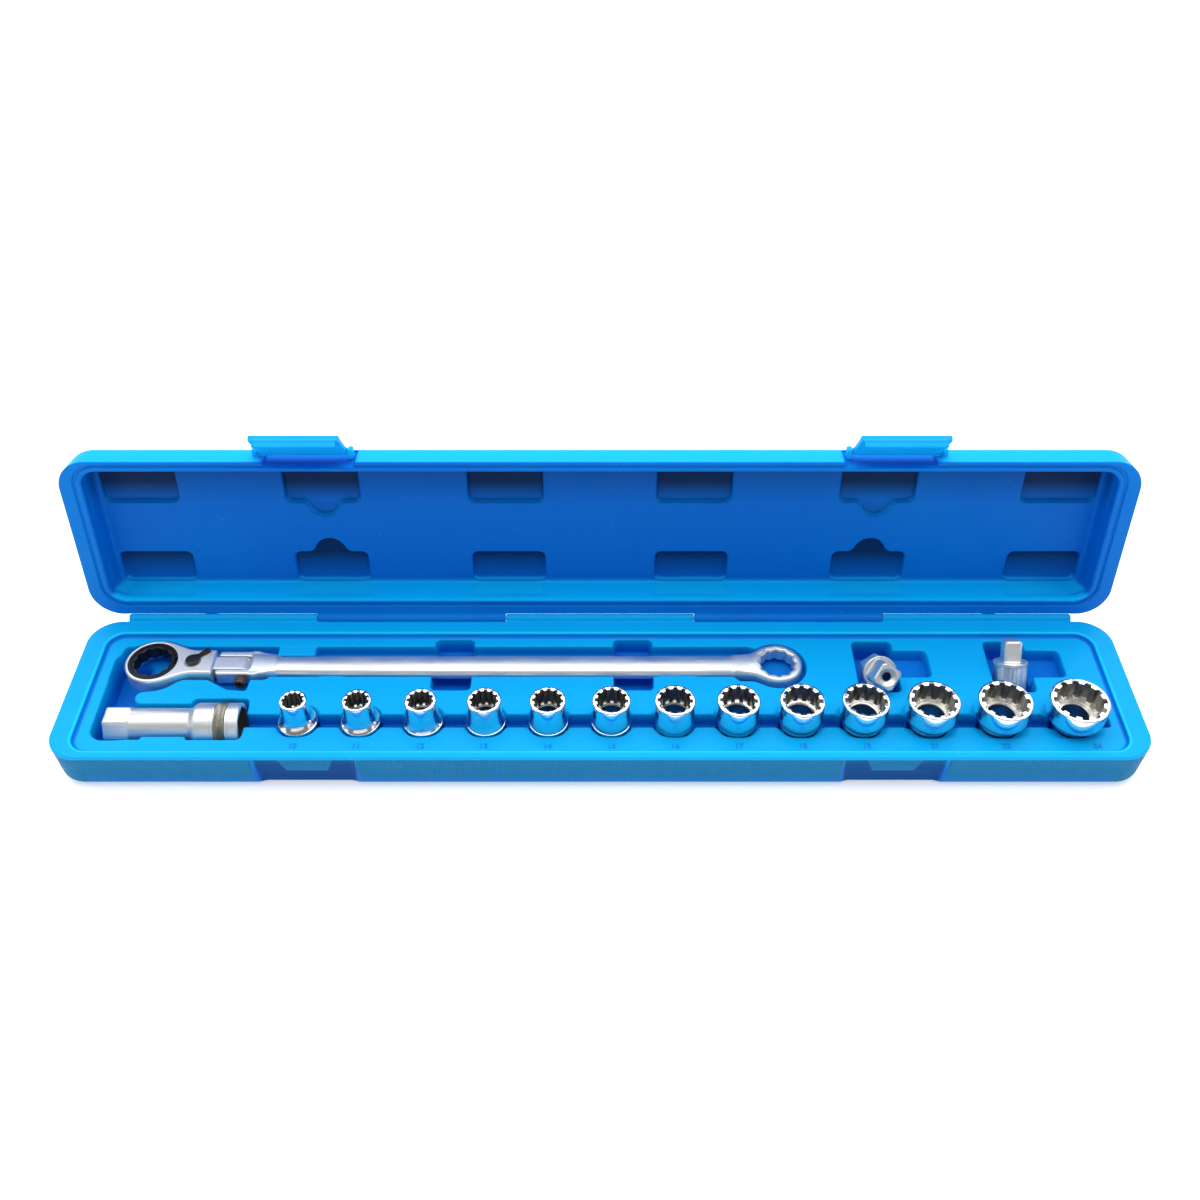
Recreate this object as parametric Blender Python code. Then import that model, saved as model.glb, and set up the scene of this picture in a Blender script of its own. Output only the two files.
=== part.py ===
"""Socket wrench set in a long blow-moulded case: open lid, flex-head ratchet wrench,
thirteen pass-through sockets, an extension and two square-drive adapters.

Frame: X runs along the case, Y from the front to the hinge, Z up. The origin is the
middle of the case's flat underside. The lid stands open and the latches hang open.
"""

import math

import bmesh
import bpy
from mathutils import Matrix, Vector

MM = 0.001

# Case
CASE_WIDTH = 580.0
CASE_DEPTH = 100.0
BASE_HEIGHT = 25.0
LID_HEIGHT = 20.0
CORNER_RADIUS = 17.0
EDGE_RADIUS = 5.0
DRAFT = 1.5
WALL = 1.8
INNER_FACETS = 8
PART_GAP = 0.3
ROUND_FACETS = 28
RIM_SIDE = 12.5
RIM_FRONT = 5.9
RIM_BACK = 10.8
TRAY_STEP = 2.5
TRAY_CORNER = 9.0
LID_RECESS = 16.0
LID_SKIN = 1.3

# Hinge
HINGE_Y = CASE_DEPTH / 2 + 2.2
HINGE_Z = BASE_HEIGHT
LID_OPEN_ANGLE = 98.5
STOP_X = 225.0
DIMPLE_COLUMNS = (52.0, 153.0, 253.0)
DIMPLE_ROWS = ((-41.5, -15.5), (17.0, 37.0))
DIMPLE_HALF_WIDTH = 21.0
DIMPLE_DEPTH = 2.0
DIMPLE_BUMP_RADIUS = 9.0
KNUCKLE_RADIUS = 2.5
KNUCKLE_BORE = 1.5
HINGE_PIN_RADIUS = 1.2
KNUCKLE_COUNT = 5
HINGE_LENGTH = 540.0
KNUCKLE_GAP = 0.5
WEB_HEIGHT = 2.2
STOP_REACH = 12.0
STOP_HALF_WIDTH = 3.0

# Latches
LATCH_X = 158.0
LATCH_WIDTH = 47.0
LATCH_LENGTH = 22.6
LATCH_THICKNESS = 3.4
LATCH_AXIS_Y = -52.4
LATCH_AXIS_RISE = 8.0
LATCH_OPEN_ANGLE = 46.0
LATCH_BARREL_RADIUS = 2.0
LATCH_PLATE_INNER = 1.6
LATCH_PIN_RADIUS = 0.9
LATCH_SEAT_X = 154.5
LATCH_SEAT_HALF_WIDTH = 28.5
LATCH_SEAT_DEPTH = 4.5
LATCH_EAR_THICKNESS = 2.8
CATCH_X = 153.5
CATCH_DROP = 11.5
CATCH_TOP_HALF = 15.0
CATCH_LOW_HALF = 10.5

# Wrench
WRENCH_Y = 17.5
HANDLE_TOP = 25.0
HANDLE_WIDTH = 14.6
HANDLE_THICKNESS = 7.2
HANDLE_EDGE = 2.4
FORK_START_X = -212.5
FORK_END_X = -187.0
FORK_WIDTH = 17.0
FORK_SLOT = 8.4
FIXED_RING_X = 98.5
FIXED_RING_RADIUS = 13.7
FIXED_RING_AF = 17.4
FIXED_RING_TOP = 25.2
FIXED_RING_THICKNESS = 8.5
HEAD_X = -248.0
HEAD_RADIUS = 15.4
HEAD_TOP = 26.3
HEAD_THICKNESS = 9.6
NECK_WIDTH = 17.6
TONGUE_WIDTH = 7.6
TONGUE_ROUND = 4.0
FORK_BOTTOM = 16.6
FORK_TOP = 25.0
PIVOT_RADIUS = 2.0
DETENT_RADIUS = 1.5
DETENT_END_X = -186.0
PIVOT_X = -198.5
PIVOT_Z = 20.8
GEAR_RADIUS = 13.2
GEAR_TEETH = 36
RING_AF = 18.4
LEVER_X = -226.0
LEVER_SHAFT_RADIUS = 1.9
LEVER_REST_TURN = 47.0
LEVER_HUB_RADIUS = 3.9
LEVER_REACH = 11.4
SCREW_HEAD_RADIUS = 3.2
SCREW_HEAD_HEIGHT = 4.6
COIL_WIRE = 0.4
GEAR_BOTTOM = 18.4
GEAR_SHOULDER = 24.9
GEAR_TOP = 26.1
PAWL_TOP = 23.6
RETAINER_INNER = 12.1
GEAR_LIP_RADIUS = 11.6

# Sockets
SOCKET_SIZES = (10, 11, 12, 13, 14, 15, 16, 17, 18, 19, 21, 22, 24)
SOCKET_Y = -22.3
FIRST_SOCKET_X = -161.5
SOCKET_PITCH = 33.5
WIDE_PITCHES = (35.8, 37.5, 39.2)
SOCKET_RIM_Z = 39.0
SOCKET_SEAT_Z = 20.6
DRIVE_HEX_AF = 18.0
DRIVE_LENGTH = 9.0
FLANGE_RADIUS = 10.6
DRIVE_WELL_RADIUS = 11.0
SPLINE_DEPTH = 11.5
THROUGH_BORE_RADIUS = 7.3

# Extension and adapters
EXTENSION_Z = 18.4
EXTENSION_X = -264.0
EXTENSION_LENGTH = 72.5
SHAFT_RADIUS = 9.2
SLEEVE_RADIUS = 12.0
SLEEVE_START = 49.5
SHAFT_SHOULDER = 46.5
MALE_LENGTH = 14.0
FEMALE_DEPTH = 13.0
KNURL_START = 59.5
KNURL_END = 65.6
KNURL_DEPTH = 0.7
ADAPTER_BODY_AF = 17.0
ADAPTER_BODY_LENGTH = 14.0
ADAPTER_FLANGE_RADIUS = 9.2
ADAPTER_FLANGE = 2.4
SMALL_DRIVE = 9.5
LARGE_DRIVE = 12.7

# Tray
HALF_WIDTH = CASE_WIDTH / 2
HALF_DEPTH = CASE_DEPTH / 2
RIM_TOP = BASE_HEIGHT
TRAY_TOP = BASE_HEIGHT - TRAY_STEP
ABOVE = BASE_HEIGHT + 6.0
POCKET_CORNER = 3.0
WRENCH_FLOOR = 15.6
HEAD_WELL = (7.2, 32.0)
HANDLE_WELL = (9.5, 32.0)
HANDLE_WELL_START_X = -183.0
RING_FLARE_WELL = (6.2, 28.8)
RING_FLOOR = 15.0
HEAD_WELL_RADIUS = 19.0
FIXED_RING_WELL_RADIUS = 16.4
FINGER_FLOOR = 12.0
FINGER_X = (-82.0, 18.5)
FINGER_HALF_WIDTH = 11.0
FINGER_WELL = (-0.6, 37.5)
SCREW_RELIEF = (1.0, 10.0)
SCREW_RELIEF_FLOOR = 14.5
END_WELL_LOW = (-270.5, -33.0)
END_WELL_HIGH = (-253.0, 24.0)
DEEP_FLOOR = 6.0
EXTENSION_WELL_HALF = 12.9
CHANNEL_FLOOR = 14.0
CHANNEL = (-26.8, -18.0)
CHANNEL_END_X = 272.0
SEAT_CLEARANCE = 1.7
SEAT_GAP = 0.7
DRIVE_FLOOR = SOCKET_SEAT_Z - DRIVE_LENGTH - 0.8
ADAPTER_X = (153.5, 227.8)
ADAPTER_FLOORS = (7.4, 7.4)
ADAPTER_WELL_HALF = 11.3
ADAPTER_WELL = (-2.0, 36.0)
ADAPTER_FINGER_WELL = (9.0, 29.0)
ADAPTER_FINGER_FLOOR = 14.0
VENT_X = 40.0
VENT_Y = -6.5
VENT_RADIUS = 2.0
LID_VENT_Y = 16.0
LID_VENT_RADIUS = 1.1


def clear_scene():
    for scene_object in list(bpy.data.objects):
        bpy.data.objects.remove(scene_object, do_unlink=True)


def new_collection(name, hidden=False):
    collection = bpy.data.collections.new(name)
    bpy.context.scene.collection.children.link(collection)
    collection.hide_render = hidden
    return collection


def material(name, colour, roughness, metallic):
    made = bpy.data.materials.get(name)
    if made:
        return made
    made = bpy.data.materials.new(name)
    made.use_nodes = True
    shader = made.node_tree.nodes["Principled BSDF"]
    shader.inputs["Base Color"].default_value = (*colour, 1.0)
    shader.inputs["Roughness"].default_value = roughness
    shader.inputs["Metallic"].default_value = metallic
    return made


FINISHES = {
    "case_blue": ((0.0, 0.42, 0.86), 0.42, 0.0),
    "latch_blue": ((0.0, 0.44, 0.86), 0.4, 0.0),
    "satin_chrome": ((0.72, 0.73, 0.72), 0.32, 1.0),
    "bright_chrome": ((0.8, 0.81, 0.82), 0.16, 1.0),
    "black_steel": ((0.05, 0.05, 0.045), 0.45, 0.8),
    "spring_steel": ((0.5, 0.5, 0.5), 0.3, 1.0),
}


def add_object(name, mesh, collection, finish=None):
    made = bpy.data.objects.new(name, mesh)
    collection.objects.link(made)
    if finish:
        made.data.materials.append(material(finish, *FINISHES[finish]))
    return made


def mesh_from(bm, name, smooth_angle=None):
    bmesh.ops.recalc_face_normals(bm, faces=bm.faces)
    mesh = bpy.data.meshes.new(name)
    bm.to_mesh(mesh)
    bm.free()
    if smooth_angle:
        mesh.shade_smooth()
        mesh.set_sharp_from_angle(angle=math.radians(smooth_angle))
    return mesh


def rounded_box_mesh(name, low, high, corner=0.0, taper=0.0, floor_round=0.0,
                     segments=5, floor_segments=3):
    """A box between two corners in millimetres: upright edges rounded, its low end
    drawn in by the taper and its lowest edge rounded."""
    bm = bmesh.new()
    bmesh.ops.create_cube(bm, size=1.0)
    low, high = Vector(low), Vector(high)
    size, centre = high - low, (low + high) / 2
    for vert in bm.verts:
        drawn_in = taper if vert.co.z < 0 else 0.0
        width, depth = size.x - 2 * drawn_in, size.y - 2 * drawn_in
        vert.co = Vector((vert.co.x * width, vert.co.y * depth, vert.co.z * size.z)) + centre
    if corner:
        upright = [e for e in bm.edges if abs(e.verts[0].co.z - e.verts[1].co.z) > size.z / 2]
        bmesh.ops.bevel(bm, geom=upright, offset=corner, segments=segments, profile=0.5,
                        affect="EDGES")
    if floor_round:
        lowest = [e for e in bm.edges if all(abs(v.co.z - low.z) < 0.001 for v in e.verts)]
        bmesh.ops.bevel(bm, geom=lowest, offset=floor_round, segments=floor_segments,
                        profile=0.5, affect="EDGES")
    bmesh.ops.scale(bm, vec=(MM, MM, MM), verts=bm.verts)
    return mesh_from(bm, name)


def cylinder_mesh(name, radius, depth, sides, end_radius=None):
    """A cylinder or cone along Z, its middle at the origin; the end radius is the upper one."""
    bm = bmesh.new()
    bmesh.ops.create_cone(bm, cap_ends=True, segments=sides, radius1=radius * MM,
                          radius2=(radius if end_radius is None else end_radius) * MM,
                          depth=depth * MM)
    return mesh_from(bm, name, 40)


def outline_prism_mesh(name, outline, bottom, top):
    """A flat outline of (x, y) points in millimetres, raised from bottom to top."""
    bm = bmesh.new()
    ring = [bm.verts.new((x * MM, y * MM, bottom * MM)) for x, y in outline]
    face = bm.faces.new(ring)
    raised = bmesh.ops.extrude_face_region(bm, geom=[face])["geom"]
    moved = [item for item in raised if isinstance(item, bmesh.types.BMVert)]
    bmesh.ops.translate(bm, verts=moved, vec=(0, 0, (top - bottom) * MM))
    return mesh_from(bm, name, 40)


def turned_mesh(name, profile, sides):
    """A solid turned about Z from (radius, height) points in millimetres, listed from
    the top centre outwards and down."""
    bm = bmesh.new()
    points = [bm.verts.new((radius * MM, 0, height * MM)) for radius, height in profile]
    edges = [bm.edges.new(pair) for pair in zip(points, points[1:])]
    if profile[0][0] > 0:
        edges.append(bm.edges.new((points[-1], points[0])))
    bmesh.ops.spin(bm, geom=edges + points, cent=(0, 0, 0), axis=(0, 0, 1),
                   angle=math.tau, steps=sides, use_merge=True, use_duplicate=False)
    bmesh.ops.remove_doubles(bm, verts=bm.verts, dist=0.00001)
    return mesh_from(bm, name, 40)


def polygon(sides, across_flats, turn=0.0):
    radius = across_flats / 2 / math.cos(math.pi / sides)
    angles = [math.tau * (i + 0.5) / sides + turn for i in range(sides)]
    return [(radius * math.cos(a), radius * math.sin(a)) for a in angles]


def double_hex(across_flats):
    """The 24 corners of a 12-point ring: tips of two hexagons, and the notches between."""
    tip = across_flats / math.sqrt(3)
    notch = across_flats / 2 / math.cos(math.radians(15))
    points = []
    for i in range(24):
        radius = tip if i % 2 == 0 else notch
        angle = math.radians(15 * i)
        points.append((radius * math.cos(angle), radius * math.sin(angle)))
    return points


def spline_outline(tooth_tip, root, teeth=12):
    """A ring of square-sided teeth pointing inwards: four points to a tooth."""
    points = []
    step = math.tau / teeth
    for i in range(teeth):
        for share, radius in ((-0.3, root), (0.1, root), (0.2, tooth_tip), (0.6, tooth_tip)):
            angle = step * (i + share)
            points.append((radius * math.cos(angle), radius * math.sin(angle)))
    return points


def place(scene_object, location=(0, 0, 0), rotation=(0, 0, 0), parent=None):
    scene_object.location = Vector(location) * MM
    scene_object.rotation_euler = [math.radians(angle) for angle in rotation]
    if parent:
        scene_object.parent = parent
    return scene_object


def boolean(target, other, operation="DIFFERENCE"):
    modifier = target.modifiers.new(operation.lower(), "BOOLEAN")
    modifier.operation = operation
    modifier.solver = "EXACT"
    if isinstance(other, bpy.types.Collection):
        modifier.operand_type = "COLLECTION"
        modifier.collection = other
    else:
        modifier.object = other


def cutter(name, mesh, location=(0, 0, 0), rotation=(0, 0, 0), parent=None):
    made = add_object(name, mesh, CUTTERS)
    made.hide_render = True
    made.display_type = "WIRE"
    return place(made, location, rotation, parent)


class Pockets:
    """Two matching groups of cutters: the pockets themselves, and the same pockets grown
    by a wall, which the hollow between the two skins keeps clear of."""

    def __init__(self, name, wall, parent=None, shift=(0, 0, 0)):
        self.cuts = bpy.data.collections.new(name + "_cuts")
        self.grown = bpy.data.collections.new(name + "_grown")
        for group in (self.cuts, self.grown):
            CUTTERS.children.link(group)
            group.hide_render = True
        self.wall = wall
        self.parent = parent
        self.shift = Vector(shift)
        self.count = 0
        self.mouth_down = parent is not None

    def add(self, make_mesh, location=(0, 0, 0), skinned=True):
        """A pocket that isn't skinned gets no grown copy: keep_out clears a run of them."""
        self.count += 1
        pairs = [(self.cuts, 0.0), (self.grown, self.wall)]
        for group, grow in pairs if skinned else pairs[:1]:
            label = f"{group.name}_{self.count}"
            made = add_object(label, make_mesh(label, grow), group)
            made.hide_render = True
            made.display_type = "WIRE"
            place(made, Vector(location) + self.shift, parent=self.parent)

    def keep_out(self, low, high):
        label = self.grown.name + "_keep_out"
        made = add_object(label, rounded_box_mesh(label, low, high), self.grown)
        made.hide_render = True
        made.display_type = "WIRE"

    def box(self, low, high, corner=2.0, segments=3):
        def make(label, grow):
            down, up = (0.0, grow) if self.mouth_down else (grow, 0.0)
            start = (low[0] - grow, low[1] - grow, low[2] - down)
            end = (high[0] + grow, high[1] + grow, high[2] + up)
            return rounded_box_mesh(label, start, end, corner + grow,
                                    segments=1 if grow else segments)
        self.add(make)

    def round(self, x, y, radius, floor, top, sides=20, floor_radius=None, skinned=True):
        lower = radius if floor_radius is None else floor_radius

        def make(label, grow):
            facets = INNER_FACETS if grow else sides
            spread = 1 / math.cos(math.pi / facets) if grow else 1.0
            made = cylinder_mesh(label, (lower + grow) * spread, top - floor + grow, facets,
                                 (radius + grow) * spread)
            direction = 0.5 if self.mouth_down else -0.5
            made.transform(Matrix.Translation((0, 0, direction * grow * MM)))
            return made
        self.add(make, (x, y, (floor + top) / 2), skinned)


def socket_places():
    places, x = [], FIRST_SOCKET_X
    pitches = [SOCKET_PITCH] * 9 + list(WIDE_PITCHES)
    for size, pitch in zip(SOCKET_SIZES, pitches + [0.0]):
        places.append((size, x))
        x += pitch
    return places


def socket_outer_radius(size):
    return size * 0.585 + 1.45


def base_pockets():
    pockets = Pockets("base", WALL)
    pockets.box((-HALF_WIDTH + RIM_SIDE, -HALF_DEPTH + RIM_FRONT, TRAY_TOP),
                (HALF_WIDTH - RIM_SIDE, HALF_DEPTH - RIM_BACK, ABOVE), TRAY_CORNER, segments=4)
    add_wrench_pockets(pockets)
    # Left end: one deep well joins the ratchet head and the extension
    pockets.box((*END_WELL_LOW, DEEP_FLOOR), (*END_WELL_HIGH, ABOVE), POCKET_CORNER + 1.0)
    pockets.box((EXTENSION_X - 2.0, SOCKET_Y - EXTENSION_WELL_HALF, DEEP_FLOOR),
                (EXTENSION_X + EXTENSION_LENGTH + 1.5, SOCKET_Y + EXTENSION_WELL_HALF, ABOVE))
    add_socket_pockets(pockets)
    # Adapters: a well each, with a finger recess to its right
    for x, floor in zip(ADAPTER_X, ADAPTER_FLOORS):
        pockets.box((x - ADAPTER_WELL_HALF, ADAPTER_WELL[0], floor),
                    (x + ADAPTER_WELL_HALF, ADAPTER_WELL[1], ABOVE))
        pockets.box((x + 6.0, ADAPTER_FINGER_WELL[0], ADAPTER_FINGER_FLOOR),
                    (x + 30.0, ADAPTER_FINGER_WELL[1], ABOVE), POCKET_CORNER)
    return pockets


def add_wrench_pockets(pockets):
    """Handle run, ratchet head, fixed ring, finger gaps and the pivot screw's relief."""
    pockets.box((HEAD_X - 20.0, HEAD_WELL[0], WRENCH_FLOOR),
                (HANDLE_WELL_START_X, HEAD_WELL[1], ABOVE))
    pockets.box((HANDLE_WELL_START_X - 4.0, HANDLE_WELL[0], WRENCH_FLOOR),
                (FIXED_RING_X - 12.5, HANDLE_WELL[1], ABOVE))
    pockets.box((FIXED_RING_X - 23.0, RING_FLARE_WELL[0], WRENCH_FLOOR),
                (FIXED_RING_X - 6.0, RING_FLARE_WELL[1], ABOVE))
    pockets.round(HEAD_X, WRENCH_Y, HEAD_WELL_RADIUS, RING_FLOOR, ABOVE, ROUND_FACETS)
    pockets.round(FIXED_RING_X, WRENCH_Y, FIXED_RING_WELL_RADIUS, RING_FLOOR, ABOVE, ROUND_FACETS)
    for x in FINGER_X:
        pockets.box((x - FINGER_HALF_WIDTH, FINGER_WELL[0], FINGER_FLOOR),
                    (x + FINGER_HALF_WIDTH, FINGER_WELL[1], ABOVE), POCKET_CORNER)
    pockets.box((PIVOT_X - 7.0, SCREW_RELIEF[0], SCREW_RELIEF_FLOOR),
                (PIVOT_X + 7.0, SCREW_RELIEF[1], ABOVE), POCKET_CORNER)


def add_socket_pockets(pockets):
    """A channel along the row, and a seat with a drive well for each socket."""
    channel_start = EXTENSION_X + EXTENSION_LENGTH
    pockets.box((channel_start - 2.0, CHANNEL[0], CHANNEL_FLOOR),
                (CHANNEL_END_X, CHANNEL[1], ABOVE), 1.5)
    for size, x in socket_places():
        seat = max(FLANGE_RADIUS, socket_outer_radius(size)) + SEAT_CLEARANCE
        pockets.round(x, SOCKET_Y, seat, SOCKET_SEAT_Z - PART_GAP, ABOVE,
                      floor_radius=FLANGE_RADIUS + SEAT_GAP, skinned=False)
        pockets.round(x, SOCKET_Y, DRIVE_WELL_RADIUS, DRIVE_FLOOR, ABOVE, 12, skinned=False)
    pockets.keep_out((channel_start, SOCKET_Y - 19.0, DRIVE_FLOOR - WALL),
                     (CHANNEL_END_X + 2.0, SOCKET_Y + 18.0, ABOVE))


def latch_seat(side, grow=0.0):
    """The hollow in the base's front wall behind a latch, around its catch."""
    name = f"latch_seat_{side}_{grow}"
    x = side * LATCH_SEAT_X
    half = LATCH_SEAT_HALF_WIDTH + grow
    seat = cutter(name, rounded_box_mesh(
        name, (x - half, -HALF_DEPTH - 1.0, -1.0),
        (x + half, -HALF_DEPTH + LATCH_SEAT_DEPTH + grow, RIM_TOP - 2.4 + grow)))
    if not grow:
        top, low = RIM_TOP - 1.0, RIM_TOP - CATCH_DROP
        wedge = [(-CATCH_TOP_HALF, top), (CATCH_TOP_HALF, top), (CATCH_LOW_HALF, low),
                 (-CATCH_LOW_HALF, low)]
        mesh = outline_prism_mesh(name + "_catch", [(side * CATCH_X + a, b) for a, b in wedge],
                                  -HALF_DEPTH + 0.3, -HALF_DEPTH + 6.0)
        mesh.transform(Matrix(((1, 0, 0, 0), (0, 0, 1, 0), (0, 1, 0, 0), (0, 0, 0, 1))))
        mesh.flip_normals()
        boolean(seat, cutter(name + "_catch", mesh))
    return seat


def knuckle_spans(lid):
    """The hinge line is cut into knuckles that belong in turn to the base and the lid."""
    length = HINGE_LENGTH / KNUCKLE_COUNT
    for i in range(KNUCKLE_COUNT):
        if (i % 2 == 1) == lid:
            start = -HINGE_LENGTH / 2 + i * length
            yield start + KNUCKLE_GAP / 2, start + length - KNUCKLE_GAP / 2


def along_x(name, radius, start, end, sides, y, z, parent=None):
    made = cutter(name, cylinder_mesh(name, radius, end - start, sides))
    return place(made, ((start + end) / 2, y, z), (0, 90, 0), parent)


def add_knuckles(shell, lid, parent=None):
    """Joins a shell's own knuckles on, clears the other shell's, and bores the line."""
    y, z = (0.0, 0.0) if parent else (HINGE_Y, HINGE_Z)
    low, high = (PART_GAP, WEB_HEIGHT) if lid else (-WEB_HEIGHT, -PART_GAP)
    for i, (start, end) in enumerate(knuckle_spans(lid)):
        name = f"{shell.name}_knuckle_{i}"
        boolean(shell, along_x(name, KNUCKLE_RADIUS, start, end, 12, y, z, parent), "UNION")
        web = cutter(name + "_web", rounded_box_mesh(
            name + "_web", (start, y - 3.6, z + low), (end, y - 0.5, z + high)), parent=parent)
        boolean(shell, web, "UNION")
    for i, (start, end) in enumerate(knuckle_spans(not lid)):
        name = f"{shell.name}_relief_{i}"
        boolean(shell, along_x(name, KNUCKLE_RADIUS + 0.4, start - KNUCKLE_GAP,
                               end + KNUCKLE_GAP, 12, y, z, parent))
    half = HINGE_LENGTH / 2 + 1.0
    boolean(shell, along_x(shell.name + "_bore", KNUCKLE_BORE, -half, half, 8, y, z, parent))


def base_shell():
    shell = add_object("base_shell", rounded_box_mesh(
        "base_shell", (-HALF_WIDTH, -HALF_DEPTH, 0), (HALF_WIDTH, HALF_DEPTH, RIM_TOP),
        CORNER_RADIUS, DRAFT, EDGE_RADIUS, 7), OBJECT, "case_blue")
    pockets = base_pockets()
    boolean(shell, pockets.cuts)
    hollow = cutter("base_hollow", rounded_box_mesh(
        "base_hollow", (-HALF_WIDTH + 2.6, -HALF_DEPTH + 2.6, WALL),
        (HALF_WIDTH - 2.6, HALF_DEPTH - 2.6, RIM_TOP - WALL), CORNER_RADIUS - 2, DRAFT,
        EDGE_RADIUS - 2, 5, 2))
    boolean(hollow, pockets.grown)
    for side in (-1, 1):
        boolean(hollow, latch_seat(side, WALL))
        boolean(shell, latch_seat(side))
    boolean(shell, hollow)
    boolean(shell, cutter("base_vent", cylinder_mesh("base_vent", VENT_RADIUS, 6.0, 12),
                          (VENT_X, VENT_Y, 1.0)))
    add_stops(shell)
    add_knuckles(shell, lid=False)
    return shell


def add_stops(shell):
    """Two brackets behind the hinge, whose tops the open lid's back wall rests on."""
    for side in (-1, 1):
        name = f"lid_stop_{side}"
        back, lean = HINGE_Y + STOP_REACH, math.radians(LID_OPEN_ANGLE - 90)
        near, far = HINGE_Z + 1.2, HINGE_Z + 2.2 - STOP_REACH * math.tan(lean) - PART_GAP
        wedge = [(HALF_DEPTH - 1.0, 8.0), (HALF_DEPTH + 3.4, 10.0), (back, far - 3.0),
                 (back, far), (HINGE_Y + 3.4, near), (HINGE_Y + 3.4, HINGE_Z - 4.0),
                 (HALF_DEPTH - 1.0, HINGE_Z - 4.0)]
        mesh = outline_prism_mesh(name, wedge, -STOP_HALF_WIDTH, STOP_HALF_WIDTH)
        mesh.transform(Matrix(((0, 0, 1, 0), (1, 0, 0, 0), (0, 1, 0, 0), (0, 0, 0, 1))))
        boolean(shell, cutter(name, mesh, (side * STOP_X, 0, 0)), "UNION")


def lid_pockets(hinge):
    pockets = Pockets("lid", LID_SKIN, hinge, (0, -HINGE_Y, -HINGE_Z))
    floor = HINGE_Z + LID_RECESS
    pockets.box((-HALF_WIDTH + RIM_SIDE, -HALF_DEPTH + RIM_FRONT, HINGE_Z - 4.0),
                (HALF_WIDTH - RIM_SIDE, HALF_DEPTH - RIM_BACK, floor), TRAY_CORNER, segments=4)
    for column in DIMPLE_COLUMNS:
        for side in (-1, 1):
            x = side * column
            for y_low, y_high in DIMPLE_ROWS:
                pockets.box((x - DIMPLE_HALF_WIDTH, y_low, floor - DIMPLE_DEPTH),
                            (x + DIMPLE_HALF_WIDTH, y_high, floor + DIMPLE_DEPTH), POCKET_CORNER)
            if column == DIMPLE_COLUMNS[1]:
                for y in (DIMPLE_ROWS[0][1], DIMPLE_ROWS[1][0]):
                    pockets.round(x, y, DIMPLE_BUMP_RADIUS, floor - DIMPLE_DEPTH,
                                  floor + DIMPLE_DEPTH, 16)
    return pockets


def lid_shell(hinge):
    shift = (0, -HINGE_Y, -HINGE_Z)
    top = HINGE_Z + LID_HEIGHT
    # The lid is the same kind of block as the base, turned over
    mesh = rounded_box_mesh("lid_shell", (-HALF_WIDTH, -HALF_DEPTH, -top),
                            (HALF_WIDTH, HALF_DEPTH, -HINGE_Z - PART_GAP), CORNER_RADIUS,
                            DRAFT, EDGE_RADIUS, 7)
    mesh.transform(Matrix.Rotation(math.pi, 4, "X"))
    shell = place(add_object("lid_shell", mesh, OBJECT, "case_blue"), shift, parent=hinge)
    pockets = lid_pockets(hinge)
    boolean(shell, pockets.cuts)
    mesh = rounded_box_mesh("lid_hollow", (-HALF_WIDTH + 2.2, -HALF_DEPTH + 2.2, -top + LID_SKIN),
                            (HALF_WIDTH - 2.2, HALF_DEPTH - 2.2, -HINGE_Z - 1.9),
                            CORNER_RADIUS - 2, DRAFT, EDGE_RADIUS - 2, 5, 2)
    mesh.transform(Matrix.Rotation(math.pi, 4, "X"))
    hollow = cutter("lid_hollow", mesh, shift, parent=hinge)
    boolean(hollow, pockets.grown)
    boolean(shell, hollow)
    boolean(shell, cutter("lid_vent", cylinder_mesh("lid_vent", LID_VENT_RADIUS, 4.0, 10),
                          (0, LID_VENT_Y - HINGE_Y, LID_RECESS), parent=hinge))
    for side in (-1, 1):
        add_latch_ears(shell, side, hinge)
    add_knuckles(shell, lid=True, parent=hinge)
    return shell


def add_latch_ears(shell, side, hinge):
    axis_y, axis_z = LATCH_AXIS_Y - HINGE_Y, LATCH_AXIS_RISE
    for end in (-1, 1):
        half = LATCH_EAR_THICKNESS / 2
        x = side * LATCH_X + end * (LATCH_WIDTH / 2 + half + 0.5)
        name = f"latch_ear_{side}_{end}"
        ear = rounded_box_mesh(name, (x - half, axis_y - 2.2, axis_z - 2.2),
                               (x + half, -HALF_DEPTH - HINGE_Y + 3.0, axis_z + 2.8))
        boolean(shell, cutter(name, ear, parent=hinge), "UNION")
    reach = LATCH_WIDTH / 2 + 4.0
    boolean(shell, along_x(f"latch_ear_bore_{side}", LATCH_PIN_RADIUS + 0.3,
                           side * LATCH_X - reach, side * LATCH_X + reach, 12, axis_y, axis_z,
                           hinge))


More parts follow.
